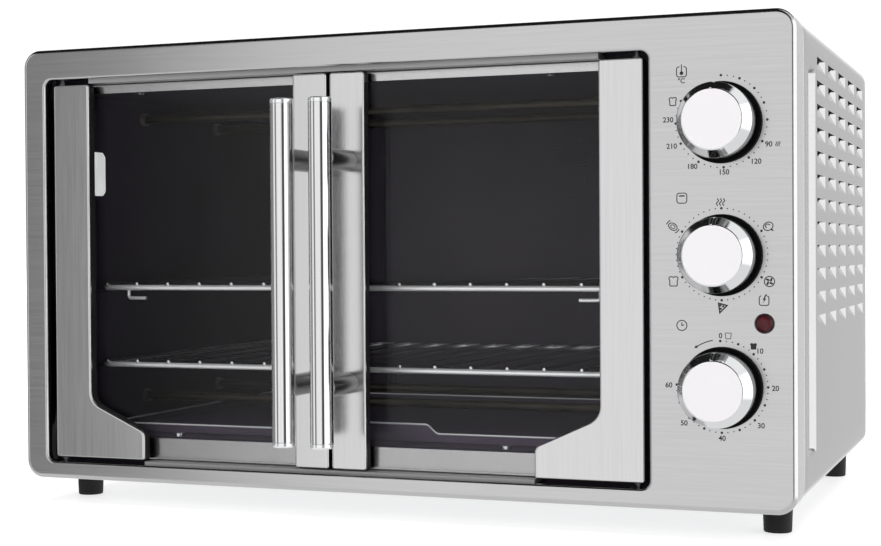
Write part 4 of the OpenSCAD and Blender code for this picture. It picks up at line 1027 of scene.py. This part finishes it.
class Marks(Shape):
    """Flat printed figures gathered into one piece."""

    # Depth at which the marks lie, and how far the outline of a letter grows, as a share of its size
    lift, bolder = -0.07, 0.019

    def flat(self, points, faces):
        self.add(stood(np.asarray(points, float), self.lift), faces)

    def fill(self, at, line):
        """The inside of a closed line that runs anticlockwise."""
        self.flat(np.asarray(at) + line, np.arange(len(line))[None])

    def dot(self, at, r, sides=12):
        turn = full_turn(sides)
        self.fill(at, r * np.stack([np.cos(turn), np.sin(turn)], 1))

    def stroke(self, at, path, width=THIN, closed=False):
        """A line of even width: the path moved half a width to each side along its mean normal."""
        p = np.asarray(path, float)
        back, ahead = np.roll(p, 1, 0), np.roll(p, -1, 0)
        if not closed:
            back[0], ahead[-1] = 2 * p[0] - p[1], 2 * p[-1] - p[-2]
        a, b = unit(p - back), unit(ahead - p)
        n0, n1 = np.stack([-a[:, 1], a[:, 0]], 1), np.stack([-b[:, 1], b[:, 0]], 1)
        mitre = (n0 + n1) / np.maximum(1 + (n0 * n1).sum(1), 0.4)[:, None]
        edges = np.asarray(at) + np.stack([p - mitre * width / 2, p + mitre * width / 2])
        self.flat(edges.reshape(-1, 2), grid_faces(2, len(p), False, closed))

    def text(self, at, words, size):
        """Words in the built-in letters, a little bolder, as triangles."""
        curve = bpy.data.curves.new("digits", "FONT")
        curve.body, curve.size, curve.align_x, curve.align_y = words, size, "CENTER", "CENTER"
        curve.offset = size * self.bolder
        holder = bpy.data.objects.new("digits", curve)
        mesh = bpy.data.meshes.new_from_object(holder)
        mesh.calc_loop_triangles()
        points, faces = np.empty(len(mesh.vertices) * 3), np.empty(len(mesh.loop_triangles) * 3, np.int32)
        mesh.vertices.foreach_get("co", points)
        mesh.loop_triangles.foreach_get("vertices", faces)
        self.flat(np.asarray(at) + points.reshape(-1, 3)[:, :2], faces.reshape(-1, 3))
        bpy.data.objects.remove(holder)
        bpy.data.meshes.remove(mesh)
        bpy.data.curves.remove(curve)


def arc(r, start, end, steps=24, squash=1.0, tilt=0.0):
    """Points of a circle, flattened and tilted, with angles in degrees from the right."""
    turn = np.radians(np.linspace(start, end, steps))
    p = np.stack([r * np.cos(turn), r * squash * np.sin(turn)], 1)
    c, s = cos(radians(tilt)), sin(radians(tilt))
    return p @ np.array([(c, s), (-s, c)])


def ring(r, squash=1.0, tilt=0.0, steps=24):
    """The same once round."""
    return arc(r, 0, 360, steps + 1, squash, tilt)[:-1]


def wave(x):
    """Rising line: it leans to the right, and swings by the sine of its height."""
    up = np.linspace(-2.1, 2.1, 13)
    return np.stack([x + 0.45 * np.sin(up * 2.2) + up * 0.18, up], 1)


WAVES = (-1.7, 0.0, 1.7)
SLICE = [(-2.4, 2.6), (3.0, 1.2), (-1.6, -3.4)]
BOLT = [(0.9, 4.0), (-1.0, 0.2), (0.1, 0.4), (-0.9, -2.1), (1.4, 1.4), (0.4, 1.3), (1.9, 4.0)]
# Half of a slice of bread, from the middle of its top to the middle of its foot, in widths and heights
BREAD = np.array([(0.0, 0.42), (0.14, 0.5), (0.38, 0.5), (0.5, 0.4),
                  (0.5, 0.22), (0.42, 0.1), (0.42, -0.4), (0.34, -0.5)])


def bread(w, h):
    """Both halves of the slice, clockwise from the middle of its top."""
    return np.concatenate([BREAD, BREAD[::-1][:-1] * (-1, 1)]) * (w, h)


def open_box(w, gap, r):
    """Square outline with a gap in the middle of its top."""
    h = w / 2
    return rounded_line([(-gap, h), (-h, h), (-h, -h), (h, -h), (h, h), (gap, h)], [r] * 4, 4)


class OVEN_OT_dial_marks(Piece, bpy.types.Operator):
    """Dial marks: rings of dots, plain numbers and plain cooking symbols"""

    bl_idname = "oven.dial_marks"
    bl_label = "Dial marks"

    def make(self, sizes):
        marks, rise, ink, ring_r, size = Marks(), 0.6, 0.05, sizes.dot_ring / MM, sizes.digits / MM
        heat, job, clock = (face_middle(f"{dial}_knob") + (0, rise) for dial in DIALS)
        self.dots(marks, heat, job, clock, ring_r)
        self.numbers(marks, heat, clock, size)
        self.round_heat(marks, heat, size)
        self.round_job(marks, job)
        self.round_clock(marks, clock, ring_r)
        bolt = face_middle("indicator_lens") + (-0.3, 14.4)
        marks.stroke(bolt, open_box(6.0, 1.9, 1.4))
        marks.fill(bolt, BOLT)
        marks.build("dial_print", CABINET, "black_plastic", [printed_ink("dial ink")], shell=False, wall=ink)

    def dots(self, marks, heat, job, clock, ring_r):
        """Rings of dots: large ones at given clock angles, and small ones about a step apart between them."""
        heat_turn = (0, 23.8, 46.3, 68.1, 89.7, 117.2, 143.2, 176.9, 209.8, 242.7, 269.0, 298.3)
        rows = ((heat, np.array(heat_turn), 8.7), (job, np.linspace(0, 360, 7), 7.5),
                (clock, np.linspace(-2, 271.6, 13), 7.6))
        large_r, small_r, sides = 0.85, 0.42, 10
        for centre, large, apart in rows:
            small = [np.linspace(a, b, round((b - a) / apart) + 1)[1:-1] for a, b in zip(large, large[1:])]
            for angles, r in ((large, large_r), (np.concatenate(small), small_r)):
                turn = np.radians(angles)
                for spot in centre + ring_r * np.stack([np.sin(turn), np.cos(turn)], 1):
                    marks.dot(spot, r, sides)

    def numbers(self, marks, heat, clock, size):
        """Plain numbers, each with its place right of and above the middle of its dial."""
        heat_rows = ((90, 29.9, -15.3), (120, 21.9, -25.9), (150, 1.7, -32.2), (180, -18.6, -28.2),
                     (210, -31.7, -15.0), (230, -34.0, 1.9))
        clock_rows = ((0, -0.8, 32.3), (10, 23.9, 22.9), (20, 33.6, -0.3), (30, 24.6, -24.0),
                      (40, 0.0, -32.7), (50, -24.4, -23.8), (60, -34.2, 0.3))
        for centre, rows in ((heat, heat_rows), (clock, clock_rows)):
            for number, right, up in rows:
                marks.text(centre + (right, up), str(number), size)

    def round_heat(self, marks, heat, size):
        """Bread, a thermometer in an open box over its unit, and rising heat."""
        box = heat + (-25.2, 32.3)
        marks.stroke(heat + (-30.9, 13.6), bread(4.6, 5.0), closed=True)
        marks.stroke(box, open_box(6.4, 1.3, 1.5))
        marks.stroke(box, [(0, 4.7), (0, -0.6)])
        marks.dot(box + (0, -0.9), 1.2)
        marks.text(box + (-0.1, -5.9), "°C", size * 0.95)
        for x in WAVES:
            marks.stroke(heat + (35.6, -15.2), wave(x * 0.85) * 0.72, THIN * 0.7)

    def round_job(self, marks, job):
        """Clockwise from the top: rising heat, an oval on a stick, a fan, a slice, bread, rings and a box."""
        for x in WAVES:
            marks.stroke(job + (-0.5, 33.0), wave(x) * 1.15)
        oval, fan, piece = job + (29.4, 17.4), job + (30.1, -17.2), job + (0.4, -33.6)
        rings_at, box = job + (-31.2, 17.8), job + (-25.3, 35.9)
        marks.stroke(oval, ring(3.1, 0.82, 25), closed=True)
        marks.stroke(oval + (-0.3, 0.2), arc(1.5, 20, 250, 14, 0.8))
        marks.stroke(oval + (1.8, -1.8), [(0.0, 0.0), (1.4, -1.0)], BROAD)
        marks.stroke(fan, ring(3.2), closed=True)
        for turn in (45, 135, 225, 315):
            marks.fill(fan + arc(1.55, turn, turn, 1)[0], ring(1.35, 0.5, turn + 25, 12))
        marks.stroke(piece, SLICE, THIN * 1.5, True)
        for spot in ((-1.2, 1.2), (0.5, 0.6), (-1.0, -0.9)):
            marks.dot(piece + spot, 0.75, 8)
        marks.stroke(job + (-30.9, -17.2), bread(5.8, 5.9), closed=True)
        marks.stroke(rings_at, ring(3.0, 0.7, -32), closed=True)
        marks.stroke(rings_at, ring(1.5, 0.7, -32), THIN * 0.8, True)
        for start in (110, -70):
            marks.stroke(rings_at, arc(4.3, start, start + 50, 10))
        half = (-3.2, 3.2)
        marks.stroke(box, rectangle(half, half, 1.5, 4)[0], closed=True)
        marks.stroke(box, [(-1.8, 1.4), (1.8, 1.4)], BROAD)

    def round_clock(self, marks, clock, ring_r):
        """A clock face, pale and dark bread, and an arrow towards the stay-on mark."""
        face = clock + (-25.6, 38.7)
        marks.stroke(face, ring(3.25), closed=True)
        marks.stroke(face, [(0, 2.0), (0, 0), (1.5, 0.3)])
        marks.stroke(clock + (4.1, 32.4), bread(3.9, 3.7), THIN * 0.7, True)
        marks.fill(clock + (20.0, 26.0), bread(4.2, 4.0)[::-1])
        sweep = arc(ring_r + 0.9, 101, 122, 14)
        marks.stroke(clock, sweep)
        tip, heading = sweep[-1], unit(sweep[-1] - sweep[-2])
        across = np.array([-heading[1], heading[0]])
        marks.fill(clock, np.array([tip + heading * 2.2, tip + across * 1.1, tip - across * 1.1]))


class OVEN_OT_racks(Piece, bpy.types.Operator):
    """Racks: a bent wire frame under sixteen cross wires, with two turned-down hooks on the upper one"""

    bl_idname = "oven.racks"
    bl_label = "Racks"

    def make(self, sizes):
        sides = sizes.wire_sides
        bend, frame_r, cross_r, wires, sink, tip = 14.0, 2.0, 1.4, 16, 0.5, 0.5
        for level in LEVELS:
            low, high = node_box(f"{level}_rack")
            z = high[2] - 2 * cross_r + sink - frame_r
            x = np.array([low[0] + frame_r, high[0] - frame_r])
            y = np.array([low[1] + frame_r, high[1] - frame_r])
            plain, bright = range(2)
            loop, _ = rectangle(x, y, bend, 10)
            shape = Shape().skin(hoop(loop, z, frame_r, sides), closed=True, finish=plain)
            wire_z = z + frame_r + cross_r - sink
            ends = both_ends([(0, 0), (cross_r, 0)], y[0] - frame_r, y[1] + frame_r)
            line = rounded_line(ends, [tip, tip], 3)
            pitch = (x[1] - x[0]) / (wires - 0.5)
            for across in x.mean() + (np.arange(wires) - (wires - 1) / 2) * pitch:
                shape.skin(revolved(line, (across, 0, wire_z), "y", sides), finish=bright)
            if level == "upper":
                self.hooks(shape, x, y[0], z, cross_r, sides)
            # The frame's plating is lighter in tone and less metallic than the cross wires': partly a rougher
            # plating, partly a painted highlight that makes the frame read white
            finishes = [chrome("rack plating", 1.12, 0.3, 0.68), chrome("wire plating", 0.9, 0.25)]
            shape.build(f"{level}_rack_wires", f"{level}_rack_body", "bright_chrome", finishes,
                        [f"{level}_rack"])

    def hooks(self, shape, x, y, z, r, sides):
        """Two wires that drop from the frame's front and turn towards each other, a little thinner there."""
        drop, run, inset, set_back, bend, thinner = 8.0, 15.0, 22.0, 6.0, 2.2, 0.96
        for end, way in ((x[0] + inset, 1.0), (x[1] - inset, -1.0)):
            down = rounded_line([(y, z), (y + set_back, z), (y + set_back, z - drop / 2)], [bend])
            path = np.column_stack([np.full(len(down), end), down])
            shape.skin(tube(path, r, (1, 0, 0), sides))
            turn = rounded_line([(end, z - drop / 2), (end, z - drop), (end + way * run, z - drop)], [bend])
            shape.skin(tube(stood(turn, y + set_back), r * thinner, (0, 1, 0), sides))


class OVEN_OT_heating_rods(Piece, bpy.types.Operator):
    """Heating rods: straight sheathed rods with swaged ends, in ceramic insulators"""

    bl_idname = "oven.heating_rods"
    bl_label = "Heating rods"

    def make(self, sizes):
        thinner, neck_l, swage, round_end, round_step = 0.86, 12.0, 2.0, 0.6, 1.0
        for level in LEVELS:
            low, high = node_box(f"{level}_heating_rods")
            z, r = (low[2] + high[2]) / 2, (high[2] - low[2]) / 2
            neck = r * thinner
            end = [(0, 0), (neck, 0), (neck, neck_l), (r, neck_l + swage)]
            radii = [round_end, *[round_step] * 4, round_end]
            line = rounded_line(both_ends(end, low[0], high[0]), radii, 3)
            shape = Shape()
            for y in (low[1] + r, high[1] - r):
                shape.skin(revolved(line, (0, y, z), "x", 24))
            shape.build(f"{level}_rod_sheaths", CABINET, "sheath_metal", [heat_stained("rod sheath")],
                        [f"{level}_heating_rods"])
        dress(glazed_ceramic("insulator glaze"), "rod_insulators")


class OVEN_OT_cavity(Piece, bpy.types.Operator):
    """Cavity sheets, tray and what shows in the cavity keep their solids and get their finishes"""

    bl_idname = "oven.cavity"
    bl_label = "Cavity and tray"

    def make(self, sizes):
        dress(dark_enamel("cavity enamel", 1.0), "cavity_left_wall", "cavity_right_wall", "cavity_ceiling",
              "cavity_floor", "cavity_back_wall", "rack_guides", "front_bulkhead")
        dress(dark_enamel("tray enamel", 2.2), "crumb_tray")
        self.tray_bead()
        dress(lamp_glass("oven lamp pane"), "oven_lamp_lens")
        dress(chrome("screw plating", 0.9, 0.2), "cabinet_screws")

    def tray_bead(self):
        """Rolled edge of the tray: a round bead along its rim that climbs over the grip at the front."""
        low, high = node_box("crumb_tray")
        rim, grip, slope, bead_r, corner, sides = 6.0, 55.0, 10.0, 0.7, 4.0, 10
        middle = (low[0] + high[0]) / 2
        hump = np.linspace(-grip - slope, grip + slope, 70)
        front = np.stack([middle + hump, np.full(len(hump), low[1])], 1)
        corners, _ = rectangle((low[0], high[0]), (low[1], high[1]), corner, 6)
        steps = len(corners) // 4
        line = np.concatenate([corners[:steps], front, corners[steps:]])
        rise = (high[2] - low[2] - rim) * smooth((grip + slope - np.abs(line[:, 0] - middle)) / slope)
        z = low[2] + rim + rise * (line[:, 1] < low[1] + 1.0)
        Shape().skin(hoop(line, z, bead_r, sides), closed=True).build(
            "tray_bead", "tray_body", "bright_chrome", [chrome("bead plating", 1.0, 0.3, 0.4)])


class OVEN_OT_inner_works(Piece, bpy.types.Operator):
    """Controls, fan and fittings behind the panels keep their solids and get their finishes"""

    bl_idname = "oven.inner_works"
    bl_label = "Inner works"

    def make(self, sizes):
        dress(zinc("inner zinc"), "base_plate", "hinge_brackets", "fan_housing", "oven_lamp_holder",
              "sync_cables", *(f"{dial}_shaft" for dial in DIALS))
        dress(cast_metal("control metal"), "thermostat", "timer", "fan_motor", "convection_fan")
        dress(moulded("fitting plastic", 0.02, 0.5), "function_switch", "terminal_block", "cable_gland")


# Studio

# Brightness of the surround by bearing, in degrees from the front with the right positive: a step at the
# front left shades the left of the steel, and a dark gap at the front right draws lines on its rounded edges
AROUND = ((-180, 1.15), (-140, 1.15), (-120, 1.0), (-108, 0.28), (-66, 0.28), (-64, 1.1), (-48, 1.1),
          (-46, 0.25), (-32, 0.25), (-27, 1.03), (22, 1.03), (27, 0.08), (46, 0.08), (52, 1.75), (140, 1.75),
          (160, 0.68), (177, 0.68), (180, 1.15))
PEAK = 1.75
# How much of that shows by the climb of a ray, which is the sine of its height: all of it round the horizon
CLIMB = ((-0.36, 0.0), (-0.2, 1.0), (0.5, 1.0), (0.56, 0.0))
# Below that the surround has one tone
BELOW = ((-0.36, 0.85), (-0.2, 0.0))
# Overhead it is bright on the right only, which leaves a dark arc on the knobs' bevels
OVERHEAD = ((-180, 0.012), (58, 0.012), (66, 1.0), (118, 1.0), (126, 0.012), (180, 0.012))
ABOVE = ((0.5, 0.0), (0.56, 1.0))
# What the camera sees of the surround itself
BACKDROP = 1.1
# Where the lamps point, in metres: the middle of the oven
AIM = (0.0, 0.0, 0.17)


def placed(scene, name, data, axes, at):
    """A new object at a place, with its x, y and z along three axes."""
    holder = bpy.data.objects.new(name, data)
    holder.matrix_world = Matrix([*np.stack([*axes, np.array(at)], 1).tolist(), (0, 0, 0, 1)])
    scene.collection.objects.link(holder)
    return holder


class OVEN_OT_stage(bpy.types.Operator):
    """Stage: a white floor, a pale surround that darkens overhead, two soft lights and the camera"""

    bl_idname = "oven.stage"
    bl_label = "Stage"

    def execute(self, context):
        scene, studio = context.scene, context.scene.oven_studio
        scene.view_settings.view_transform = "Standard"
        self.floor(scene, studio)
        self.surround(scene, studio)
        self.light(scene, "front_light", "AREA", studio.front, (-0.9, -2.6, 1.2),
                   {"shape": "RECTANGLE", "size": 2.2, "size_y": 1.4})
        self.light(scene, "top_light", "SUN", studio.top, (0.15, -0.5, 2.2), {"angle": radians(50)})
        self.camera(scene, studio)
        return {"FINISHED"}

    def floor(self, scene, studio):
        """Pale paper under the oven, lit a little from below. It doesn't show in polished parts."""
        reach, lines = 14.0, 5
        side = np.linspace(-reach, reach, lines)
        grid = np.stack(np.broadcast_arrays(side[None], side[:, None], 0.0), -1)
        mesh = bpy.data.meshes.new("floor")
        mesh.from_pydata(grid.reshape(-1, 3).tolist(), [], grid_faces(lines, lines).tolist())
        f = Finish("floor paper")
        clouds = f.noise(1.3)
        tone = f.tones(clouds, looks().floor, 0.985, 1.0)
        glow = f.surface(Base_Color=tone, Roughness=clouds.about(0.6, 0.1), Emission_Color=tone,
                         Emission_Strength=studio.paper)
        mesh.materials.append(glow)
        paper = bpy.data.objects.new("floor", mesh)
        scene.collection.objects.link(paper)
        paper.visible_glossy = False

    def surround(self, scene, studio):
        """Brightness of each ray: by its bearing round the horizon, by other stops overhead, one tone below.

        Each of the three fades into the next by the ray's climb. What is looked at has a tone of its own.
        """
        f = Finish("surround", "worlds", "Generated")
        x, y, z = (f.part(axis) for axis in "XYZ")
        bearing, height = x.math("ARCTAN2", x, y * -1.0) * (0.5 / pi) + 0.5, z * 0.5 + 0.5

        def ramp(value, stops, reach, peak=1.0):
            """Share of the peak tone by a value from 0 to 1, for stops from minus to plus reach."""
            shares = [(at / (2 * reach) + 0.5, tone / peak) for at, tone in stops]
            return f.node("ShaderNodeValToRGB", {"stops": shares}, {0: value})

        around, overhead = (ramp(bearing, stops, 180, PEAK) for stops in (AROUND, OVERHEAD))
        climb, above, below = (ramp(height, stops, 1) for stops in (CLIMB, ABOVE, BELOW))
        lit = ((around * climb + overhead * above) * PEAK + below) * studio.sky
        looked_at = f.node("ShaderNodeLightPath")
        tone = lit + looked_at * (BACKDROP - lit)
        glow = f.node("ShaderNodeBackground", None, {"Color": (1.0, 1.0, 1.0, 1.0), "Strength": tone})
        scene.world = f.output(glow, "ShaderNodeOutputWorld")

    def light(self, scene, name, kind, power, at, settings):
        """A soft lamp aimed at the oven. Only the surround shows in its polished parts."""
        lamp = bpy.data.lights.new(name, kind)
        lamp.energy = power
        for key, value in settings.items():
            setattr(lamp, key, value)
        away = unit(np.array(at) - AIM)
        right = unit(np.cross((0, 0, 1), away))
        placed(scene, name, lamp, (right, np.cross(away, right), away), at).visible_glossy = False

    def camera(self, scene, studio):
        """The photograph's camera: turned by yaw, tilted by pitch, then rolled about its line of sight."""
        yaw, pitch, roll = studio.yaw, studio.pitch, studio.roll
        ahead = np.array([-sin(yaw) * cos(pitch), cos(yaw) * cos(pitch), sin(pitch)])
        right = np.array([cos(yaw), sin(yaw), 0.0])
        up = np.cross(right, ahead)
        right, up = right * cos(roll) + up * sin(roll), up * cos(roll) - right * sin(roll)
        lens = bpy.data.cameras.new("photo_camera")
        lens.lens, lens.sensor_width, lens.sensor_fit = studio.focal, 36.0, "HORIZONTAL"
        lens.clip_start, lens.clip_end = 0.02, 60.0
        scene.camera = placed(scene, "photo_camera", lens, (right, up, -ahead), studio.eye)


PIECES = (
    OVEN_OT_stage, OVEN_OT_front_fascia, OVEN_OT_side_panels, OVEN_OT_top_panel, OVEN_OT_rear_cover,
    OVEN_OT_feet, OVEN_OT_door_strips, OVEN_OT_door_glass, OVEN_OT_handles, OVEN_OT_knobs, OVEN_OT_indicator,
    OVEN_OT_dial_marks, OVEN_OT_racks, OVEN_OT_heating_rods, OVEN_OT_cavity, OVEN_OT_inner_works)


class OVEN_PT_pieces(bpy.types.Panel):
    """Lists the oven's sizes, colours and pieces"""

    bl_idname = "OVEN_PT_pieces"
    bl_label = "Oven"
    bl_space_type = "VIEW_3D"
    bl_region_type = "UI"
    bl_category = "Oven"

    def draw(self, context):
        for group in (context.scene.oven_form, context.scene.oven_looks, context.scene.oven_studio):
            column = self.layout.column(align=True)
            for name in group.__annotations__:
                column.prop(group, name)
        for piece in PIECES:
            self.layout.operator(piece.bl_idname)


GROUPS = {"oven_form": OvenForm, "oven_looks": OvenLooks, "oven_studio": OvenStudio}
CLASSES = (*GROUPS.values(), *PIECES, OVEN_PT_pieces)


def register():
    for cls in CLASSES:
        bpy.utils.register_class(cls)
    for name, group in GROUPS.items():
        setattr(bpy.types.Scene, name, PointerProperty(type=group))


def unregister():
    for name in GROUPS:
        delattr(bpy.types.Scene, name)
    for cls in reversed(CLASSES):
        bpy.utils.unregister_class(cls)


def main():
    register()
    for piece in PIECES:
        group, name = piece.bl_idname.split(".")
        getattr(getattr(bpy.ops, group), name)()


if __name__ == "__main__":
    main()
